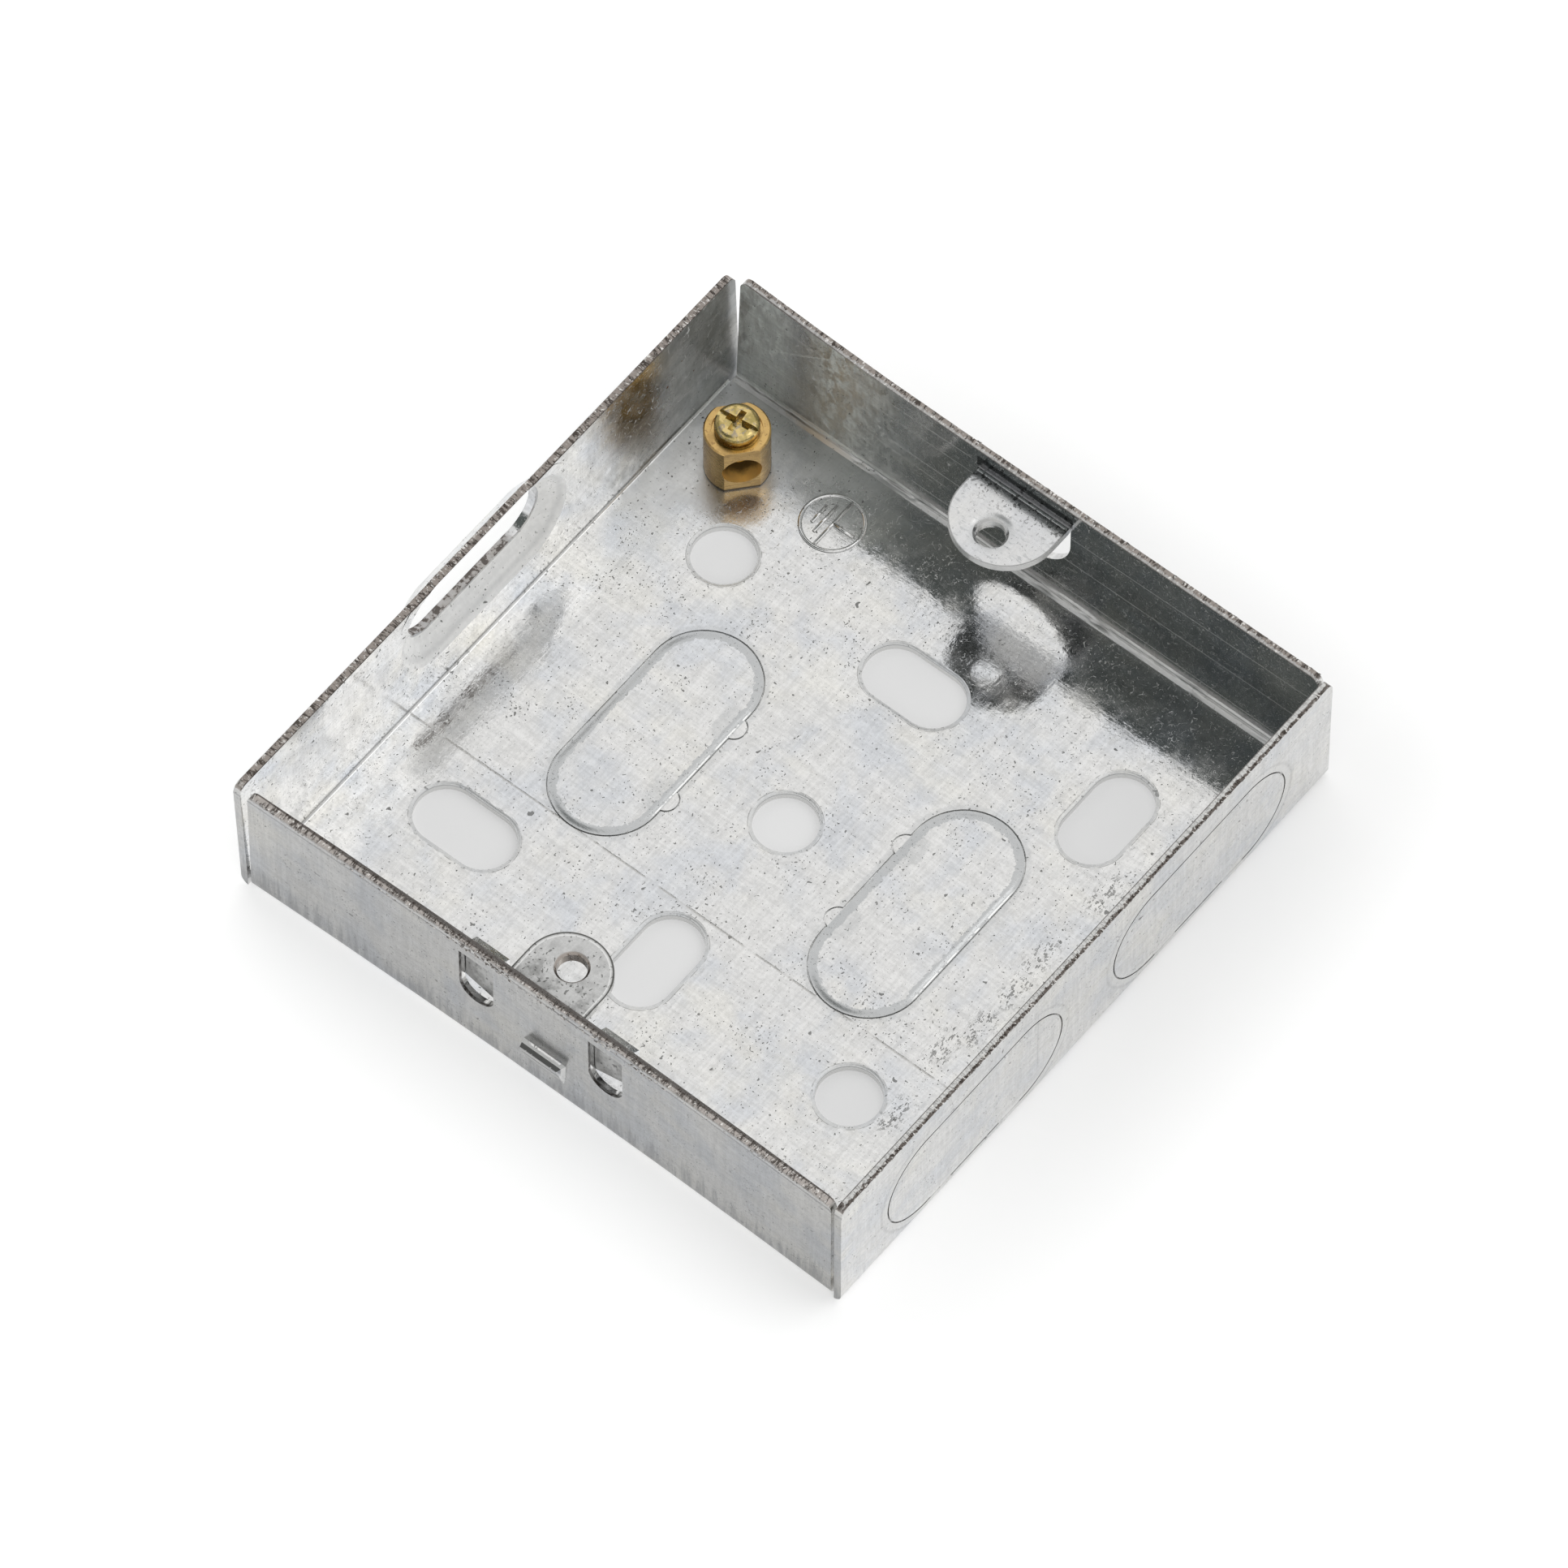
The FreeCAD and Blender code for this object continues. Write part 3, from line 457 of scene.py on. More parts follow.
def addPlateMarks(look):
    tree, marks, finish = look["tree"], plateMarks, sheetFinish
    x, y, _ = look["at"]
    onPlate = times(tree, look["flat"], look["low"])
    ragged = times(tree, plus(tree, cloud(tree, look["place"], 1.1, 3.0, 0.7), -0.5), 1.6)
    fringe = times(tree, plus(tree, cloud(tree, look["place"], 4.0, 2.0, 0.7), -0.5), 0.5)

    # knock-outs: a rolled grey band inside the sheared line, a fainter one outside, dark smudges by the lobes
    slots = leastDistance(tree, x, y, marks["knockOuts"], marks["knockHalfStraight"], marks["knockRadius"])
    lobes = leastDistance(tree, x, y, marks["lobes"], 0.0, marks["lobeRadius"])
    slug = times(tree, onPlate, between(tree, slots, 0.0, -0.12))
    inner = plus(tree, slots, times(tree, ragged, 0.55), fringe)
    band = times(tree, slug, between(tree, inner, -marks["slugBand"] - 0.03, -marks["slugBand"] + 0.03))
    roll = times(tree, onPlate, between(tree, slots, 0.0, -marks["slugBand"]),
                 between(tree, slots, 0.05, 0.0))
    lay(look, band, finish["soft"], 0.8, rough=0.16)
    lay(look, roll, lift=marks["slugRoll"])
    smudge = times(tree, slug, between(tree, plus(tree, lobes, times(tree, ragged, 1.2), fringe), 1.0, 0.55))
    lay(look, smudge, finish["soft"], 0.34, rough=0.2)
    outside = times(tree, onPlate, between(tree, least(tree, slots, lobes), -0.02, 0.04),
                    between(tree, plus(tree, slots, times(tree, ragged, 0.4)), marks["outerBand"] + 0.1,
                            marks["outerBand"] - 0.1))
    lay(look, outside, finish["soft"], 0.3, lift=-0.012)
    line = times(tree, onPlate, ridge(tree, least(tree, slots, lobes), 0.0, 0.1),
                 between(tree, cloud(tree, look["place"], 0.5, 2.0), 0.4, 0.56))
    lay(look, line, finish["pit"], 0.7)

    # painted highlight: light lines along one side of each knock-out
    paintedLight = plus(tree, *(ridge(tree, y, level, 0.13) for level in marks["paintedHighlightLines"]))
    paintedLight = times(tree, onPlate, paintedLight, between(tree, sizeOf(tree, x), 8.0, 6.5),
                between(tree, cloud(tree, look["place"], (0.45, 0.3, 0.3), 3.0, 0.7), 0.42, 0.5))
    lay(look, paintedLight, marks["paintedLight"], 0.9, rough=0.3)

    # fixing holes: the die's rounding round each
    holes = leastDistance(tree, x, y, marks["holes"], 0.0, marks["holeRadius"])
    alongX = leastDistance(tree, x, y, marks["slotsAlongX"], marks["slotHalfStraight"], marks["holeRadius"])
    turned = tuple((place[1], place[0]) for place in marks["slotsAlongY"])
    alongY = leastDistance(tree, y, x, turned, marks["slotHalfStraight"], marks["holeRadius"])
    nearest = least(tree, holes, alongX, alongY)
    ring = times(tree, onPlate, between(tree, plus(tree, nearest, times(tree, ragged, 0.25)), marks["holeRoll"],
                                        marks["holeRoll"] - 0.1))
    lay(look, ring, finish["soft"], 0.42, rough=0.3)
    lay(look, times(tree, onPlate, between(tree, nearest, marks["holeRoll"], 0.0)), lift=-0.05)
    rim = times(tree, onPlate, ridge(tree, nearest, marks["holeRoll"], 0.07),
                between(tree, cloud(tree, look["place"], 0.9, 2.0), 0.42, 0.55))
    lay(look, rim, finish["pit"], 0.55)

    # the press line, and rows of small dents by the wall with the knock-outs
    pressed = times(tree, onPlate, ridge(tree, plus(tree, x, times(tree, fringe, 0.3)), marks["pressLine"], 0.16),
                    between(tree, cloud(tree, look["place"], 0.4, 2.0), 0.34, 0.5),
                    between(tree, least(tree, slots, lobes), -0.1, 0.1))
    lay(look, pressed, marks["press"], 0.62, lift=-0.02)
    near = leastDistance(tree, x, y, marks["clusters"], 1.2, 1.3)
    dents = cloud(tree, look["place"], (1.9, 3.4, 2.0), 2.0, 0.7)
    dented = times(tree, onPlate, between(tree, near, 0.6, -1.2), between(tree, dents, 0.56, 0.62))
    lay(look, dented, finish["pit"], 0.6, rough=0.4, lift=-0.03)


def addWallMarks(look):
    tree, marks, finish = look["tree"], wallMarks, sheetFinish
    x, y, z = look["at"]
    facingX, facingY, _ = look["facing"]
    place = look["place"]

    # knock-outs in the outer face of the front wall
    front = times(tree, between(tree, facingY, -0.8, -0.95), between(tree, y, -34.0, -34.8))
    # painted light: the front wall's outer face painted a little lighter overall
    shade(look, front, marks["frontPaintedLight"])
    knock = leastDistance(tree, x, z, marks["knockOuts"], marks["knockHalfStraight"], marks["knockRadius"])
    ends = between(tree, sizeOf(tree, minus(tree, sizeOf(tree, x), marks["knockOuts"][1][0])), 4.0, 9.0)
    lay(look, times(tree, front, ridge(tree, knock, 0.0, 0.13), plus(tree, times(tree, ends, 0.6), 0.3)),
        finish["pit"], 0.9)
    halo = times(tree, front, between(tree, knock, 0.0, 0.1), between(tree, knock, 0.9, 0.5), ends)
    lay(look, halo, finish["chalky"], 0.6, rough=0.2, lift=0.03)
    outer = times(tree, front, ridge(tree, knock, 1.0, 0.3), ends)
    shade(look, outer, 0.86)
    lay(look, times(tree, front, between(tree, knock, -0.1, -0.7)), lift=0.05)
    upright = times(tree, front, ridge(tree, x, marks["scoreX"], 0.1), between(tree, z, 3.0, 5.0),
                    between(tree, z, 14.5, 13.5))
    lay(look, upright, finish["soft"], 0.6)
    frontRubs = useGroup(tree, scribbles, Place=place, Fineness=0.4, Width=0.01)
    lay(look, times(tree, front, frontRubs), finish["soft"], 0.5)

    # fold line inside, under the fixed lug: wider than the sheet's own bend, because the zinc is drawn there
    width = marks["foldWidth"]
    flat = look["flat"]
    toWall = minus(tree, marks["foldInnerX"], x)
    plateSide = times(tree, flat, look["low"])
    wallSide = times(tree, between(tree, facingX, -0.5, -0.9), between(tree, x, 34.0, 34.6))
    plateRise = most(tree, minus(tree, width, toWall), 0.0)
    wallRise = most(tree, minus(tree, finish["plateTop"] + width, z), 0.0)
    rise = plus(tree, times(tree, plateSide, plateRise), times(tree, wallSide, wallRise))
    foldHighlightNoise = between(tree, cloud(tree, place, (0.5, 0.13, 0.5), 3.0, 0.6), 0.34, 0.58)
    lay(look, times(tree, rise, plus(tree, times(tree, foldHighlightNoise, 0.45), 0.5)), lift=0.9)
    # painted highlight: a lighter band along the fold, painted darker where the noise is low
    nearFold = between(tree, most(tree, times(tree, plateSide, minus(tree, 1.0, toWall)),
                                  times(tree, wallSide, minus(tree, 1.8, z))), 0.0, 0.45)
    lay(look, nearFold, finish["chalky"], 0.7, rough=0.42)
    shade(look, times(tree, nearFold, minus(tree, 1.0, foldHighlightNoise)), 0.6)

    # the drawn metal round the cable slot is shallower than the solid's slope, and so is the scoop's
    slot = leastDistance(tree, x, z, (marks["archCentre"],), marks["archHalfStraight"], marks["archRadius"])
    insideRear = times(tree, between(tree, facingY, -0.3, -0.5), between(tree, y, 33.0, 34.0))
    sloping = times(tree, insideRear, between(tree, facingY, -0.97, -0.93))
    lay(look, times(tree, sloping, minus(tree, marks["archStretch"], slot)), lift=marks["archFlatten"])
    # painted light: the drawn zone round the cable slot painted near white, with a painted shade band and a painted
    # light band that follow the slot
    lay(look, sloping, marks["drawn"], 0.9, rough=0.34, metal=0.5)
    lay(look, times(tree, sloping, ridge(tree, slot, 2.2, 0.5)), finish["soft"], 0.24)
    lay(look, times(tree, sloping, ridge(tree, slot, 1.0, 0.8)), marks["drawn"], 0.45)
    brushed = useGroup(tree, brushedGrain, Place=place, Fineness=2.2, Length=0.1)
    shade(look, times(tree, sloping, brushed), 0.92)
    lip = times(tree, insideRear, between(tree, slot, 0.55, 0.25))
    lay(look, lip, rough=0.18)
    ragged = between(tree, cloud(tree, place, (1.2, 1.0, 1.2), 3.0, 0.7), 0.4, 0.6)
    below = between(tree, z, marks["archCentre"][1], marks["archCentre"][1] - 2.0)
    edge = times(tree, insideRear, below, between(tree, slot, times(tree, ragged, 0.5), 0.0))
    lay(look, edge, cutEdge["torn"], 0.8, rough=0.6)
    cut = times(tree, between(tree, y, 34.9, 35.2), between(tree, sizeOf(tree, slot), 0.12, 0.06),
                between(tree, x, 5.5, 4.0))
    lay(look, cut, cutEdge["torn"], plus(tree, times(tree, ragged, 0.5), 0.4), rough=0.55)
    lay(look, times(tree, cut, between(tree, ragged, 0.5, 0.8)), cutEdge["tornDark"], 0.7)
    scoopFace = times(tree, between(tree, x, -36.03, -36.08), between(tree, facingX, -0.5, -0.8))
    lay(look, times(tree, scoopFace, z), lift=-0.28)
    ledgePaintedLight = times(tree, between(tree, x, -36.02, -36.06), flat, between(tree, z, 6.0, 6.4), between(tree, z, 7.4, 7.0))
    teeth = times(tree, plus(tree, cloud(tree, place, (0.6, 4.5, 0.5), 2.0, 0.6), -0.5), 1.1)
    # painted light: the scoop's ledge painted pale, with a dark torn line at its inner edge
    lay(look, ledgePaintedLight, marks["ledgePaintedLight"], 1.0, rough=0.5, metal=0.4)
    lay(look, times(tree, ledgePaintedLight, between(tree, plus(tree, x, teeth), -36.62, -36.56)), finish["pit"], 0.9)
    inSheet = times(tree, between(tree, sizeOf(tree, facingX), 0.6, 0.3), between(tree, x, -35.1, -35.3),
                    between(tree, x, -36.02, -35.98))
    # painted light: the cut faces round the scoop's opening painted near white
    lay(look, times(tree, inSheet, between(tree, z, 7.0, 6.9), between(tree, sizeOf(tree, y), 3.4, 3.3)),
        marks["scoopPaintedLight"], 1.0, rough=0.6, metal=0.3)
    windows = times(tree, inSheet, between(tree, z, 6.95, 7.05), between(tree, z, 15.2, 14.9),
                    between(tree, sizeOf(tree, y), 10.6, 10.2))
    lay(look, windows, cutEdge["tornDark"], plus(tree, times(tree, ragged, -0.45), 0.95), rough=0.4)

    # inside the wall with the fixed lug: straight scratches, haze towards the terminal
    inner = times(tree, between(tree, facingX, -0.8, -0.95), between(tree, x, 30.0, 31.0))
    scratched = 0.0
    for across, up, heading, length, wide in innerWallScratches:
        mask = useGroup(tree, scratch, Across=y, Up=z, FromAcross=across, FromUp=up,
                        Heading=math.radians(heading), Length=length, Width=wide)
        scratched = plus(tree, scratched, mask)
    lay(look, times(tree, scratched, inner), finish["chalky"], 0.6, rough=0.45, metal=0.6)
    mottle = between(tree, cloud(tree, place, 0.25, 4.0, 0.65), 0.38, 0.62)
    dull = times(tree, inner, between(tree, y, 6.0, 24.0), plus(tree, times(tree, mottle, 0.7), 0.3))
    lay(look, dull, marks["dull"], 0.4, rough=0.5)
    # painted shade: a darker band across the middle height of this face, towards its left
    dark = times(tree, inner, between(tree, y, 12.0, -2.0), between(tree, z, 2.0, 5.0), between(tree, z, 13.0, 9.5))
    shade(look, times(tree, dark, plus(tree, times(tree, mottle, 0.5), 0.5)), 0.72)

    corner = times(tree, plateSide, between(tree, plus(tree, x, y), 40.0, 56.0))
    lay(look, times(tree, corner, plus(tree, times(tree, mottle, 0.4), 0.6)), finish["chalky"], 0.6,
        rough=0.4, metal=0.88)

    # inside the slotted wall: dark mottled stain and rust dots towards the terminal
    slotted = times(tree, between(tree, facingY, -0.8, -0.95), between(tree, y, 33.0, 34.0))
    stain = times(tree, slotted, between(tree, plus(tree, x, times(tree, mottle, 7.0)), 19.0, 29.0))
    lay(look, stain, marks["stain"], 0.3, rough=0.3)
    lowStain = times(tree, slotted, between(tree, plus(tree, x, times(tree, mottle, 5.0)), 15.0, 24.0),
                     between(tree, z, 7.0, 1.5))
    lay(look, lowStain, marks["stain"], 0.35)
    for across, up, size in marks["rustDots"]:
        dot = between(tree, fromPoint(tree, x, z, (across, up)), size, size / 2)
        lay(look, times(tree, slotted, dot), marks["rust"], 0.8, rough=0.6)
    patchy = times(tree, slotted, between(tree, cloud(tree, place, (0.2, 0.2, 0.26), 4.0, 0.6, 0.5), 0.46, 0.64))
    shade(look, patchy, 0.86)
    nearCorner = times(tree, most(tree, slotted, inner), between(tree, plus(tree, x, y), 44.0, 58.0))
    cloudy = between(tree, cloud(tree, place, (0.42, 0.42, 0.5), 4.0, 0.7, 0.6), 0.4, 0.6)
    shade(look, times(tree, nearCorner, cloudy, slotted), 0.8)
    mirrored = minus(tree, 1.0, times(tree, ridge(tree, y, 26.6, 3.4), 0.85))
    crisp = between(tree, cloud(tree, place, (0.9, 0.9, 0.6), 4.0, 0.75, 0.4), 0.42, 0.6)
    frosted = times(tree, inner, between(tree, y, 10.0, 24.0), mirrored, plus(tree, times(tree, crisp, 0.5), 0.5))
    lay(look, frosted, marks["frost"], 0.85)
    lay(look, times(tree, frosted, plus(tree, times(tree, crisp, 0.35), 0.5)), rough=0.6, metal=0.5)
    weave = useGroup(tree, brushedGrain, Place=place, Fineness=2.6, Length=0.12)
    shade(look, times(tree, frosted, weave), 0.8)
    rubs = useGroup(tree, scribbles, Place=place, Fineness=0.3, Width=0.008)
    lay(look, times(tree, most(tree, nearCorner, frosted), rubs), finish["chalky"], 0.9, rough=0.5,
        metal=0.3)
    marked = times(tree, look["pits"], most(tree, corner, frosted, sloping))
    lay(look, marked, finish["pit"], 0.85)

    # outer face of the wall with the sliding lug: rougher and painted darker overall as painted shade, with dark
    # streaks that rise from the fold
    left = times(tree, between(tree, facingX, -0.8, -0.95), between(tree, x, -33.0, -34.0))
    lay(look, left, rough=0.27)
    # painted shade: this face painted darker overall
    shade(look, left, marks["leftPaintedShade"])
    streakNoise = cloud(tree, place, (1.0, 1.5, 0.12), 4.0, 0.72)
    streakTop = between(tree, z, -1.0, 8.0, 0.36, 0.74)
    streaks = times(tree, between(tree, minus(tree, streakNoise, streakTop), -0.08, 0.16), left)
    lay(look, streaks, marks["streak"], 0.6)
    lay(look, times(tree, ridge(tree, z, rimLevel - 0.95, 0.12), left), marks["streak"], 0.5, lift=-0.03)
    lay(look, times(tree, ridge(tree, z, rimLevel - 0.65, 0.2), left), finish["chalky"], 0.4, lift=0.03)


def addLugMarks(look):  # the fixed lug: black specks and grey dashes by its fold, a soft hollow round its hole with painted shade in it, and painted shade over the bend above the lug
    tree, marks, finish = look["tree"], fixedLug, sheetFinish
    x, y, z = look["at"]
    place = look["place"]
    onTop = times(tree, look["flat"], between(tree, x, 26.0, 26.5), between(tree, z, 12.0, 12.5),
                  between(tree, z, 15.0, 14.6))
    byFold = between(tree, x, 31.5, 34.5)
    spots = useGroup(tree, specks, Place=place, Fineness=2.8, Limit=0.60, Patch=0.05)
    lay(look, onTop, marks["grey"], 0.5, rough=0.2)
    lay(look, times(tree, onTop, byFold, spots), finish["pit"], 0.85)
    dashes = between(tree, cloud(tree, place, (3.2, 0.9, 1.0), 3.0, 0.7), 0.56, 0.64)
    lay(look, times(tree, onTop, dashes, between(tree, x, 33.4, 30.5, 0.3, 1.0)), finish["soft"], 0.6, rough=0.35)
    away = fromPoint(tree, x, y, marks["hole"])
    hollow = times(tree, onTop, between(tree, away, marks["hollow"], marks["holeRadius"]))
    lay(look, hollow, lift=-0.15)
    # painted shade in the hollow round the hole
    lay(look, hollow, finish["soft"], 0.5)
    lay(look, times(tree, onTop, between(tree, away, marks["holeRadius"] + 0.28, marks["holeRadius"] + 0.1)),
        finish["pit"], 0.7)
    before = most(tree, minus(tree, marks["noseCentre"], x), 0.0)
    inset = minus(tree, marks["half"], distance(tree, before, y))
    lay(look, times(tree, onTop, between(tree, inset, 0.18, 0.08)), finish["pit"], 0.6)
    nearby = between(tree, sizeOf(tree, y), 5.7, 5.6)
    edgeOn = times(tree, between(tree, sizeOf(tree, look["facing"][2]), 0.5, 0.2), nearby,
                   between(tree, x, 26.0, 26.5), between(tree, x, 34.6, 34.2), between(tree, z, 12.8, 13.0))
    lay(look, edgeOn, marks["edge"], 1.0, rough=0.4, metal=0.8)
    # painted shade over the bend between the lug and the wall above it
    foldPaintedShade = times(tree, nearby, between(tree, z, 13.84, 13.9), between(tree, z, 15.6, 15.3),
                      between(tree, x, 33.4, 33.6))
    shade(look, foldPaintedShade, 0.24)


def addCutEdges(look):  # sheared edges of the sheet: a torn brown zone and a burnished one
    tree, edge, finish = look["tree"], cutEdge, sheetFinish
    x, y, z = look["at"]
    place = look["place"]
    onRim = times(tree, look["flat"], between(tree, z, rimLevel - 0.5, rimLevel - 0.35))
    flareShare = between(tree, y, edge["flareFrom"], edge["flareTo"])
    flareAt = times(tree, flareShare, flareShare, edge["flare"])
    depths = {
        "left": calc(tree, "ADD", x, edge["outX"]),
        "right": minus(tree, plus(tree, flareAt, edge["outX"]), x),
        "front": calc(tree, "ADD", y, edge["outY"]),
        "rear": minus(tree, edge["outY"] + edge["lean"], y),
    }
    ragged = times(tree, plus(tree, cloud(tree, place, (1.9, 1.9, 1.0), 4.0, 0.8), -0.5), 0.9)
    zones = []
    for side, depth in depths.items():
        here = between(tree, depth, 1.1, 1.0)
        uneven = plus(tree, depth, ragged)
        low, high = edge["tornFrom"][side], edge["tornTo"][side]
        soft = edge["tornSoft"]
        zones.append(times(tree, here, between(tree, uneven, low, low + soft),
                           between(tree, uneven, high + soft, high)))
    torn = most(tree, *zones)
    sideways = between(tree, least(tree, depths["left"], depths["right"]), 1.1, 1.0)
    run = blendValue(tree, sideways, x, y)
    through = blendValue(tree, sideways, y, x)
    along = toVector(tree, run, through, 0.0)
    hatch = cloud(tree, along, (3.4, 0.8, 1.0), 3.0, 0.75)
    lay(look, onRim, edge["burnished"], 0.9, rough=0.36)
    lay(look, times(tree, onRim, between(tree, depths["front"], 1.0, 0.9)), edge["burnishedFront"], 0.9, rough=0.3)
    tornRim = times(tree, torn, onRim)
    lay(look, tornRim, edge["torn"], 1.0, rough=0.6)
    lay(look, times(tree, tornRim, between(tree, depths["left"], 1.0, 0.9)), edge["tornLeft"], 0.8)
    front = between(tree, depths["front"], 1.0, 0.9)
    lay(look, times(tree, tornRim, front), edge["tornDark"], 0.6)
    lay(look, times(tree, onRim, between(tree, hatch, 0.5, 0.42), plus(tree, times(tree, torn, 0.65), 0.35)),
        edge["tornDark"], 0.85, lift=-0.06)
    topOutside = times(tree, between(tree, z, rimLevel - 0.45, rimLevel - 0.15),
                       between(tree, look["facing"][0], -0.3, -0.6), between(tree, depths["left"], 0.6, 0.4))
    lay(look, topOutside, edge["torn"], 0.6, rough=0.5)
    lay(look, times(tree, topOutside, between(tree, hatch, 0.5, 0.44)), edge["tornDark"], 0.5)
    flecks = cloud(tree, along, (3.6, 1.6, 2.0), 3.0, 0.75)
    lay(look, times(tree, onRim, between(tree, flecks, 0.56, 0.62)), edge["fleck"], 0.8, rough=0.3, lift=0.04)
    nearest = least(tree, *depths.values())
    innerLine = times(tree, onRim, between(tree, nearest, edge["thick"] - 0.13, edge["thick"] - 0.04))
    lay(look, innerLine, edge["tornDark"], 0.75)

    # walls of the fixing holes: burnished bright, dark at their upper edge
    upright = between(tree, sizeOf(tree, look["facing"][2]), 0.6, 0.35)
    holeWall = times(tree, upright, between(tree, z, 0.85, 0.75),
                     between(tree, sizeOf(tree, x), 33.5, 33.0),
                     between(tree, sizeOf(tree, y), 33.5, 33.0))
    lay(look, holeWall, edge["holeWall"], 1.0, rough=0.35)
    lay(look, times(tree, holeWall, between(tree, z, 0.6, 0.7)), finish["soft"], 0.8)


def makeSheetMaterial():
    look = startLook("galvanisedSheet", sheetFinish["bright"], sheetFinish["smooth"])
    tree = look["tree"]
    look["flat"] = between(tree, look["facing"][2], 0.5, 0.9)
    look["low"] = between(tree, look["at"][2], sheetFinish["lowTo"], sheetFinish["lowFrom"])
    addZinc(look)
    addPlateMarks(look)
    addWallMarks(look)
    addLugMarks(look)
    addCutEdges(look)
    return finishLook(look)


# The sliding lug: the same zinc, duller and stained

lugFinish = {
    "zinc": (0.53, 0.53, 0.525),
    "stain": (0.23, 0.23, 0.225),
    "pit": (0.07, 0.07, 0.065),
    "brown": (0.22, 0.16, 0.12),
    "edge": (0.75, 0.75, 0.74),
    "centre": (-30.15, 0.65),
    "tongueHalf": 4.35,
    "tongueNose": 3.55,
    "threadRadius": 1.45,
}


def makeLugMaterial():
    finish = lugFinish
    look = startLook("galvanisedLug", finish["zinc"], 0.24)
    tree, place = look["tree"], look["place"]
    x, y, _ = look["at"]
    grain = useGroup(tree, brushedGrain, Place=place, Fineness=4.0, Length=0.5)
    stain = between(tree, cloud(tree, place, 0.55, 4.0, 0.65), 0.44, 0.66)
    byFold = between(tree, plus(tree, x, times(tree, stain, -1.6)), -31.6, -34.2)
    shade(look, grain, 0.9)
    lay(look, times(tree, stain, 0.6), finish["stain"], 0.5, rough=0.34)
    lay(look, times(tree, byFold, plus(tree, times(tree, stain, 0.6), 0.35)), finish["stain"], 0.8, rough=0.4)
    pits = useGroup(tree, specks, Place=place, Fineness=2.6, Limit=0.66, Patch=0.06)
    lay(look, pits, finish["pit"], 0.7, lift=-0.02)
    lay(look, grain, lift=0.004)
    away = fromPoint(tree, x, y, finish["centre"])
    inHole = between(tree, away, finish["threadRadius"] + 0.3, finish["threadRadius"] + 0.15)
    lay(look, inHole, finish["brown"], 0.55, rough=0.25)
    top = between(tree, look["facing"][2], 0.6, 0.9)
    beyond = minus(tree, x, finish["centre"][0] + finish["tongueNose"] - finish["tongueHalf"])
    reach = distance(tree, most(tree, beyond, 0.0), minus(tree, y, finish["centre"][1]))
    inset = minus(tree, finish["tongueHalf"], reach)
    lay(look, times(tree, top, between(tree, inset, 0.2, 0.1)), finish["pit"], 0.9)
    lay(look, times(tree, top, ridge(tree, inset, 0.34, 0.13)), finish["edge"], 0.7, rough=0.15)
    return finishLook(look)


# The brass pillar and its plated screw

brassFinish = {
    "brass": (0.60, 0.40, 0.155),
    "tarnish": (0.33, 0.205, 0.085),
    "paintedLight": (0.92, 0.56, 0.16),
    "seam": (0.04, 0.03, 0.02),
    "turningLines": 7.0,
    "axis": (27.55, 28.1),
    "holeTurn": 229.0,
    "holeRadius": 1.9,
    "holeLevel": 3.85,
}

screwFinish = {
    "plating": (0.64, 0.49, 0.21),
    "olive": (0.35, 0.28, 0.10),
    "dirt": (0.42, 0.38, 0.36),
}


def makeBrassMaterial():  # the wire hole's bore is painted bright orange as painted light for the light that bounces about in it, and painted darker further in as painted shade
    finish = brassFinish
    look = startLook("turnedBrass", finish["brass"], 0.24)
    tree, place = look["tree"], look["place"]
    facingX, facingY, facingZ = look["facing"]
    lines = cloud(tree, place, (0.25, 0.25, finish["turningLines"]), 2.0, 0.6)
    stain = between(tree, cloud(tree, place, (0.55, 0.55, 0.8), 4.0, 0.65), 0.42, 0.66)
    side = between(tree, sizeOf(tree, facingZ), 0.7, 0.5)
    lay(look, times(tree, stain, 0.7), finish["tarnish"], 0.8, rough=0.34)
    lay(look, times(tree, side, between(tree, lines, 0.4, 0.6)), finish["tarnish"], 0.3, rough=0.3, lift=0.008)
    pits = useGroup(tree, specks, Place=place, Fineness=2.8, Limit=0.68, Patch=0.05)
    lay(look, pits, finish["tarnish"], 0.7)
    x, y, z = look["at"]
    lay(look, times(tree, side, between(tree, z, 1.15, 0.95)), finish["seam"], 0.9)
    turn = math.radians(finish["holeTurn"])
    dx = minus(tree, x, finish["axis"][0])
    dy = minus(tree, y, finish["axis"][1])
    aside = minus(tree, times(tree, dy, math.cos(turn)), times(tree, dx, math.sin(turn)))
    rise = minus(tree, z, finish["holeLevel"])
    fromAxis = distance(tree, aside, rise)
    outward = plus(tree, times(tree, facingX, math.cos(turn)), times(tree, facingY, math.sin(turn)))
    boring = times(tree, between(tree, fromAxis, finish["holeRadius"] + 0.12, finish["holeRadius"] + 0.06),
                   between(tree, sizeOf(tree, outward), 0.6, 0.3))
    # painted light: the bore painted bright orange
    lay(look, boring, finish["paintedLight"], 1.0, rough=0.32, metal=0.5)
    inward = plus(tree, times(tree, dx, math.cos(turn)), times(tree, dy, math.sin(turn)), times(tree, stain, 0.5))
    # painted shade: the bore painted darker further in
    shade(look, times(tree, boring, between(tree, inward, 2.3, 1.1)), 0.22)
    return finishLook(look)


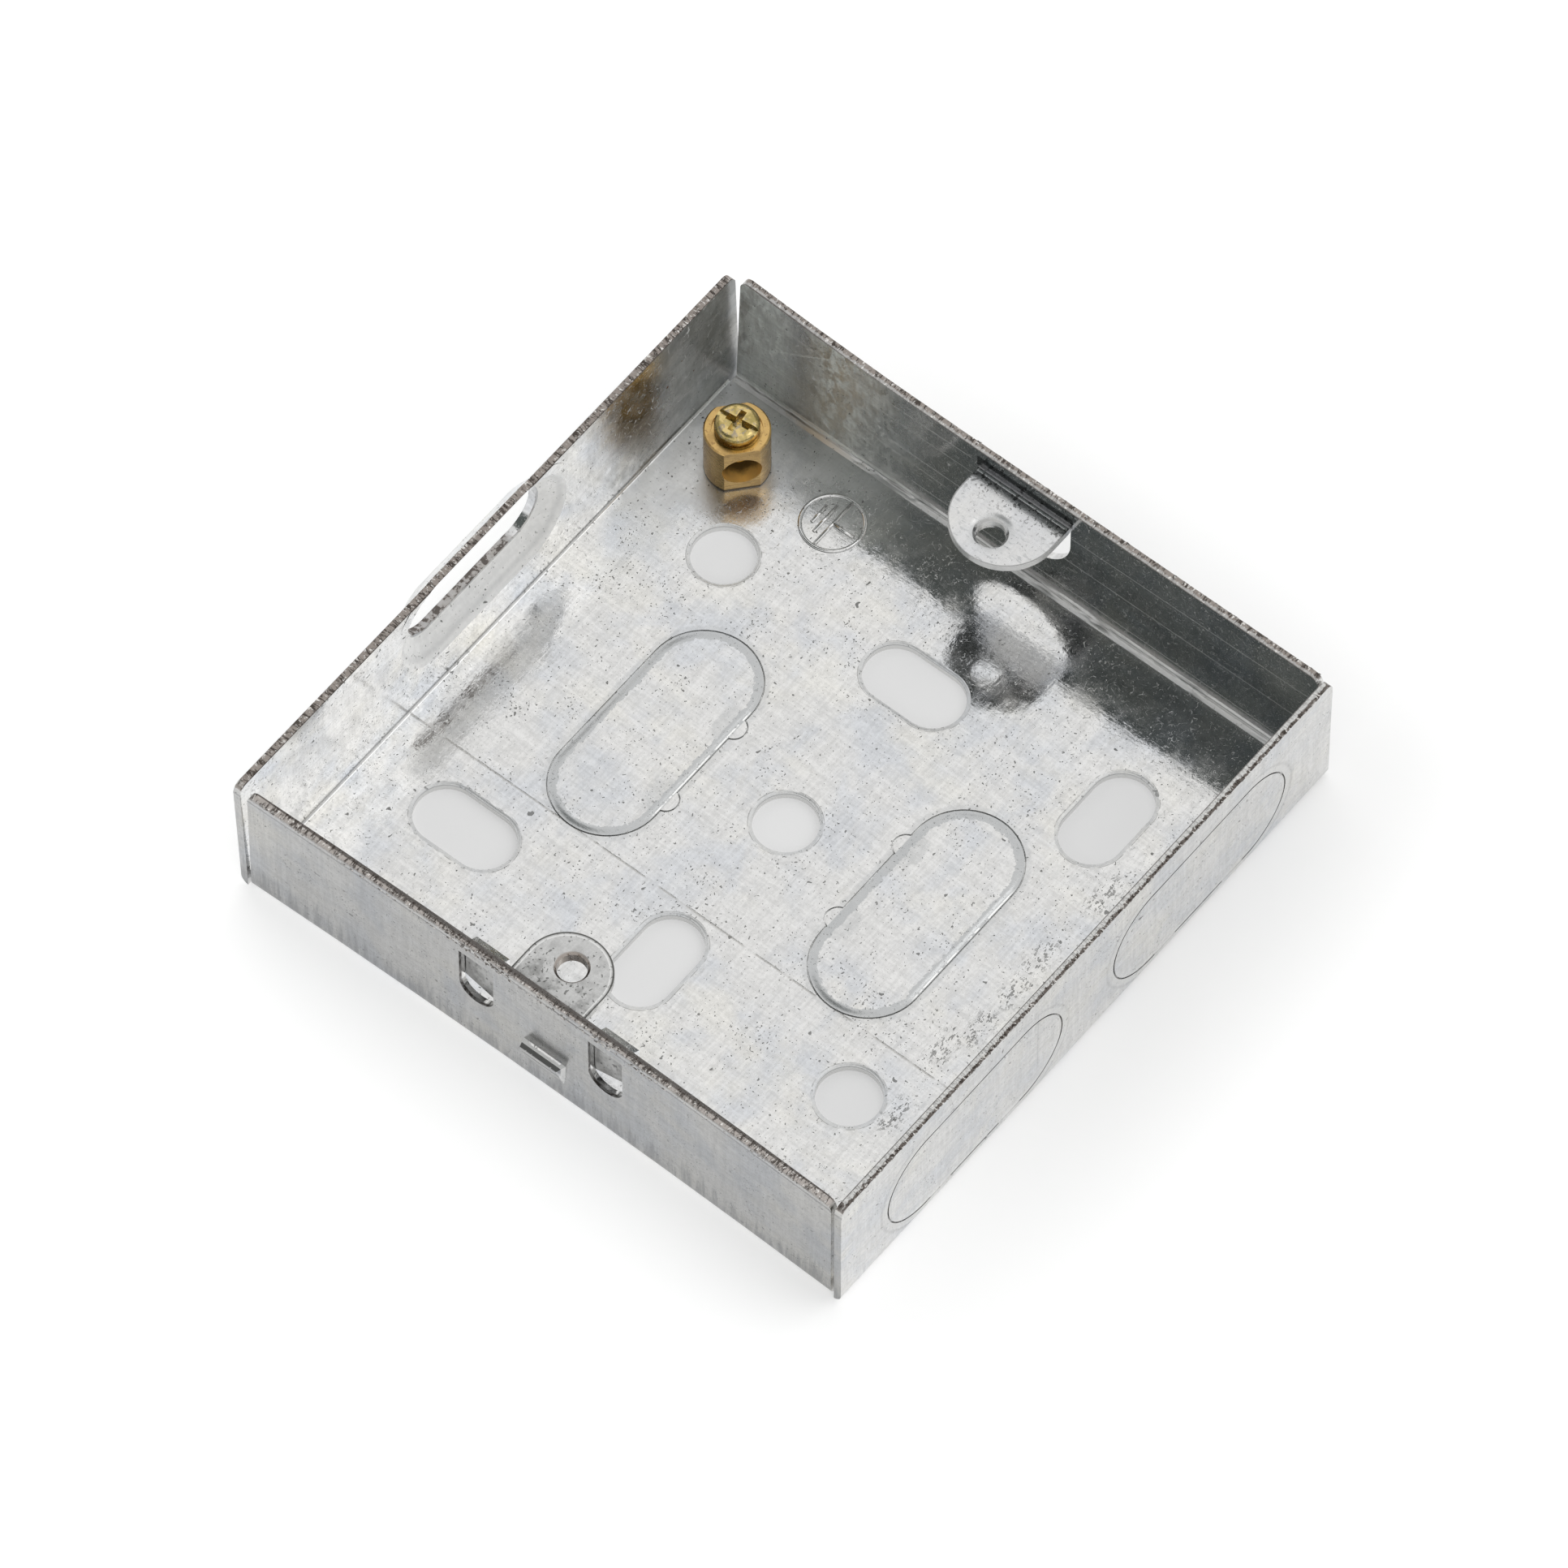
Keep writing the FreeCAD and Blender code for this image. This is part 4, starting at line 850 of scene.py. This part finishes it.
def makeScrewMaterial():
    finish = screwFinish
    look = startLook("platedScrew", finish["plating"], 0.2)
    tree, place = look["tree"], look["place"]
    z = look["at"][2]
    stain = between(tree, cloud(tree, place, 1.1, 3.0, 0.6), 0.40, 0.66)
    lay(look, stain, finish["olive"], 0.85, rough=0.3, lift=0.02)
    lay(look, between(tree, z, screwTop - 0.5, screwTop - 1.3), finish["olive"], 0.6)
    grime = times(tree, between(tree, cloud(tree, place, 1.6, 4.0, 0.7), 0.54, 0.64),
                  between(tree, z, screwTop - 1.6, screwTop - 0.9))
    lay(look, grime, finish["dirt"], 0.6, rough=0.5)
    return finishLook(look)


sheetMaterial = makeSheetMaterial()


def dressNode(name, material):
    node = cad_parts[name]
    node.data.materials.clear()
    node.data.materials.append(material)


dressNode("box_shell", sheetMaterial)
dressNode("adjustable_lug", makeLugMaterial())
dressNode("earth_terminal_post", makeBrassMaterial())
dressNode("terminal_screw", makeScrewMaterial())
print("finishes on the four CAD pieces")


# The earth sign, stamped beside the terminal: a ring, a stem and three bars

earthSign = {
    "centre": (28.1, 17.1),
    "ringRadius": 3.07,
    "lineWidth": 0.42,
    "lineHeight": 0.2,
    "ringSteps": 72,
    "bars": (((25.2, 17.0), (31.0, 17.0)), ((26.3, 17.9), (29.9, 17.9)), ((27.0, 18.7), (29.3, 18.7))),
    "stem": ((28.1, 17.0), (28.1, 14.6)),
}


def addObject(name, data):
    thing = bpy.data.objects.new(name, data)
    scene.collection.objects.link(thing)
    return thing


def addRidge(mesh, path, closed, width, height, level):  # a low rounded ridge along the path, five points across
    count = len(path)
    rings = []
    for index, point in enumerate(path):
        after = path[(index + 1) % count] if closed or index + 1 < count else point
        before = path[index - 1] if closed or index > 0 else point
        along = (Vector(after) - Vector(before)).normalized()
        aside = Vector((-along.y, along.x))
        ring = []
        for step in range(5):
            angle = math.pi * step / 4
            offset = aside * (math.cos(angle) * width / 2)
            rise = math.sin(angle) * height
            ring.append(mesh.verts.new(((point[0] + offset.x) * mm, (point[1] + offset.y) * mm, (level + rise) * mm)))
        rings.append(ring)
    for index in range(count if closed else count - 1):
        first, second = rings[index], rings[(index + 1) % count]
        for step in range(4):
            mesh.faces.new((first[step], first[step + 1], second[step + 1], second[step]))
        mesh.faces.new((first[4], first[0], second[0], second[4]))
    if not closed:
        mesh.faces.new(rings[0])
        mesh.faces.new(list(reversed(rings[-1])))


def addPiece(name, mesh, material):  # both added pieces belong to the sheet of the box
    bmesh.ops.recalc_face_normals(mesh, faces=mesh.faces)
    data = bpy.data.meshes.new(name)
    mesh.to_mesh(data)
    mesh.free()
    piece = addObject(name, data)
    data.materials.append(material)
    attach(piece, "box")
    return data


def makeEarthSign():
    sign = earthSign
    mesh = bmesh.new()
    level = sheetFinish["plateTop"] - 0.01
    centre, radius = sign["centre"], sign["ringRadius"]
    turns = [2 * math.pi * step / sign["ringSteps"] for step in range(sign["ringSteps"])]
    circle = [(centre[0] + radius * math.cos(turn), centre[1] + radius * math.sin(turn)) for turn in turns]
    addRidge(mesh, circle, True, sign["lineWidth"], sign["lineHeight"], level)
    for line in sign["bars"] + (sign["stem"],):
        addRidge(mesh, line, False, sign["lineWidth"], sign["lineHeight"], level)
    for face in addPiece("earthSign", mesh, sheetMaterial).polygons:
        face.use_smooth = True


makeEarthSign()
print("earth sign made")


# Burrs: thin torn slivers along the sheared rims, thickest beside the tabs

rimBurrs = {
    "seed": 11,
    "count": 520,
    "length": (0.14, 0.55),
    "width": (0.06, 0.18),
    "height": (0.03, 0.13),
    "outX": 35.98,
    "outY": 35.48,
    "inX": 35.22,
    "reach": 34.2,
    "tabsAt": (-7.6, 7.6),
    "tabsSpread": 3.0,
    "rightTo": 6.0,
    "sunk": 0.02,
    "swerve": 0.25,
    "zinc": (0.5, 0.48, 0.46),
}


def addSliver(mesh, place, along, length, width, height):  # a low ridge with a torn tip
    aside = Vector((-along.y, along.x, 0.0))
    ends = [place - along * length / 2, place + along * length / 2]
    base = [ends[0] + aside * width / 2, ends[0] - aside * width / 2,
            ends[1] - aside * width / 3, ends[1] + aside * width / 3]
    tips = [place - along * length * 0.2 + Vector((0.0, 0.0, height)),
            place + along * length * 0.3 + Vector((0.0, 0.0, height * 0.6))]
    low = [mesh.verts.new(point * mm) for point in base]
    high = [mesh.verts.new(point * mm) for point in tips]
    for corners in ((low[0], low[1], high[0]), (low[1], low[2], high[1], high[0]), (low[2], low[3], high[1]),
                    (low[3], low[0], high[0], high[1]), (low[3], low[2], low[1], low[0])):
        mesh.faces.new(corners)


def makeRimBurrs():
    rim = rimBurrs
    chance = random.Random(rim["seed"])
    mesh = bmesh.new()
    for _ in range(rim["count"]):
        along = chance.uniform(-rim["reach"], rim["reach"])
        pick = chance.random()
        if pick < 0.3:  # beside the tabs
            along = chance.choice(rim["tabsAt"]) + chance.gauss(0.0, rim["tabsSpread"])
            x, y = -chance.uniform(rim["inX"], rim["outX"]), along
        elif pick < 0.6:
            x, y = -chance.choice((rim["inX"], rim["outX"])), along
        elif pick < 0.9:
            x, y = along, -rim["outY"]
        else:
            x, y = rim["outX"], min(along, rim["rightTo"])
        place = Vector((x, y, rimLevel - rim["sunk"]))
        way = Vector((1.0, 0.0, 0.0)) if 0.6 <= pick < 0.9 else Vector((0.0, 1.0, 0.0))
        swerve = [chance.uniform(-rim["swerve"], rim["swerve"]) for _ in range(2)]
        way = (way + Vector((*swerve, 0.0))).normalized()
        addSliver(mesh, place, way, chance.uniform(*rim["length"]), chance.uniform(*rim["width"]),
                  chance.uniform(*rim["height"]))
    look = startLook("tornZinc", rim["zinc"], 0.4)
    flecks = cloud(look["tree"], look["place"], 3.0, 2.0, 0.7)
    lay(look, between(look["tree"], flecks, 0.45, 0.55), cutEdge["tornDark"], 0.8, lift=0.01)
    addPiece("rimBurrs", mesh, finishLook(look))


makeRimBurrs()
print("burrs along the rims made")


# Ground, light and camera

studio = {
    "groundSize": 3.0,
    "groundColour": (0.80, 0.80, 0.80),
    "groundGlow": 0.36,
    "colourUnderBox": (0.36, 0.36, 0.36),
    "glowUnderBox": 0.44,
    "underFrom": 33.0,
    "underTo": 35.0,
    # the painted shadow on the ground round the box
    "shadowReach": 0.030,
    "shadowFade": 1.5,
    "shadowTurn": (-30.0, 50.0),
    "shadowDepth": (-0.06, 0.22),
    "bright": (1.12, 1.12, 1.115),
    "dark": (0.13, 0.145, 0.14),
    "darkSide": (-0.42, 0.33, 0.845),
    "darkFrom": 0.82,
    "darkFull": 0.93,
}


def makeGround():
    half = studio["groundSize"] / 2
    data = bpy.data.meshes.new("ground")
    corners = [(-half, -half, 0.0), (half, -half, 0.0), (half, half, 0.0), (-half, half, 0.0)]
    data.from_pydata(corners, [], [(0, 1, 2, 3)])
    ground = addObject("ground", data)
    material = bpy.data.materials.new("paleGround")
    material.use_nodes = True
    tree = material.node_tree
    tree.nodes.remove(tree.nodes["Principled BSDF"])
    matt = newNode(tree, "BsdfDiffuse")
    glow = newNode(tree, "Emission")
    path = newNode(tree, "LightPath")
    seen = plus(tree, *(path.outputs["Is " + kind + " Ray"] for kind in ("Camera", "Glossy", "Transmission")))
    ways = newNode(tree, "TexCoord").outputs["Object"]
    across, along, _ = parts(tree, ways)
    beside = most(tree, sizeOf(tree, across), sizeOf(tree, along))
    outside = between(tree, beside, studio["underFrom"] * mm, studio["underTo"] * mm)
    wire(tree, blendColour(tree, outside, studio["colourUnderBox"], studio["groundColour"]), matt.inputs["Color"])
    # painted shadow: the ground's glow is lowered near the box's footprint, most towards the right
    awayX = most(tree, minus(tree, sizeOf(tree, across), cutEdge["outX"] * mm), 0.0)
    awayY = most(tree, minus(tree, sizeOf(tree, along), cutEdge["outY"] * mm), 0.0)
    away = distance(tree, awayX, awayY)
    near = calc(tree, "POWER", between(tree, away, studio["shadowReach"], 0.0), studio["shadowFade"])
    low, high = studio["shadowTurn"]
    paintedShadowShare = between(tree, minus(tree, across, along), low * mm, high * mm, *studio["shadowDepth"])
    strength = minus(tree, studio["groundGlow"], times(tree, near, paintedShadowShare))
    strength = blendValue(tree, outside, studio["glowUnderBox"], strength)
    wire(tree, times(tree, seen, strength), glow.inputs["Strength"])
    both = newNode(tree, "AddShader")
    wire(tree, matt.outputs[0], both.inputs[0])
    wire(tree, glow.outputs[0], both.inputs[1])
    wire(tree, both.outputs[0], tree.nodes["Material Output"].inputs["Surface"])
    data.materials.append(material)


def makeWorld():
    world = bpy.data.worlds.new("studio")
    scene.world = world
    world.use_nodes = True
    tree = world.node_tree
    ways = newNode(tree, "TexCoord").outputs["Generated"]
    darkWay = tuple(Vector(studio["darkSide"]).normalized())
    dark = between(tree, vectorCalc(tree, "DOT_PRODUCT", ways, darkWay), studio["darkFrom"], studio["darkFull"])
    colour = blendColour(tree, dark, studio["bright"], studio["dark"])
    background = tree.nodes["Background"]
    wire(tree, colour, background.inputs["Color"])
    background.inputs["Strength"].default_value = 1.0


keyLight = {
    "way": (0.41, -0.36, 0.838),
    "distance": 1.4,
    "size": 0.7,
    "power": 1.35,
}


def makeKeyLight():
    lamp = bpy.data.lights.new("softbox", "AREA")
    lamp.shape = "SQUARE"
    lamp.size = keyLight["size"]
    lamp.energy = keyLight["power"]
    holder = addObject("softbox", lamp)
    way = Vector(keyLight["way"]).normalized()
    holder.location = way * keyLight["distance"]
    holder.rotation_euler = way.to_track_quat("Z", "Y").to_euler()


cameraView = {
    "turn": 51.060,      # degrees from +Y towards +X
    "fall": 59.053,      # degrees below the horizon
    "lens": 372.67,
    "sensor": 36.0,
    "distance": 1.50125,
    "aside": -0.000168,
    "above": 0.004012,
}


def makeCamera():
    turn, fall = math.radians(cameraView["turn"]), math.radians(cameraView["fall"])
    ahead = Vector((math.sin(turn) * math.cos(fall), math.cos(turn) * math.cos(fall), -math.sin(fall)))
    aside = Vector((math.cos(turn), -math.sin(turn), 0.0))
    above = aside.cross(ahead)
    data = bpy.data.cameras.new("camera")
    data.lens = cameraView["lens"]
    data.sensor_width = cameraView["sensor"]
    data.clip_end = 10.0
    camera = addObject("camera", data)
    place = aside * cameraView["aside"] + above * cameraView["above"] - ahead * cameraView["distance"]
    axes = Matrix((aside, above, -ahead)).transposed().to_4x4()
    camera.matrix_world = Matrix.Translation(place) @ axes
    scene.camera = camera


makeGround()
makeWorld()
makeKeyLight()
makeCamera()
scene.view_settings.view_transform = "Standard"
print("ground, light and camera made")
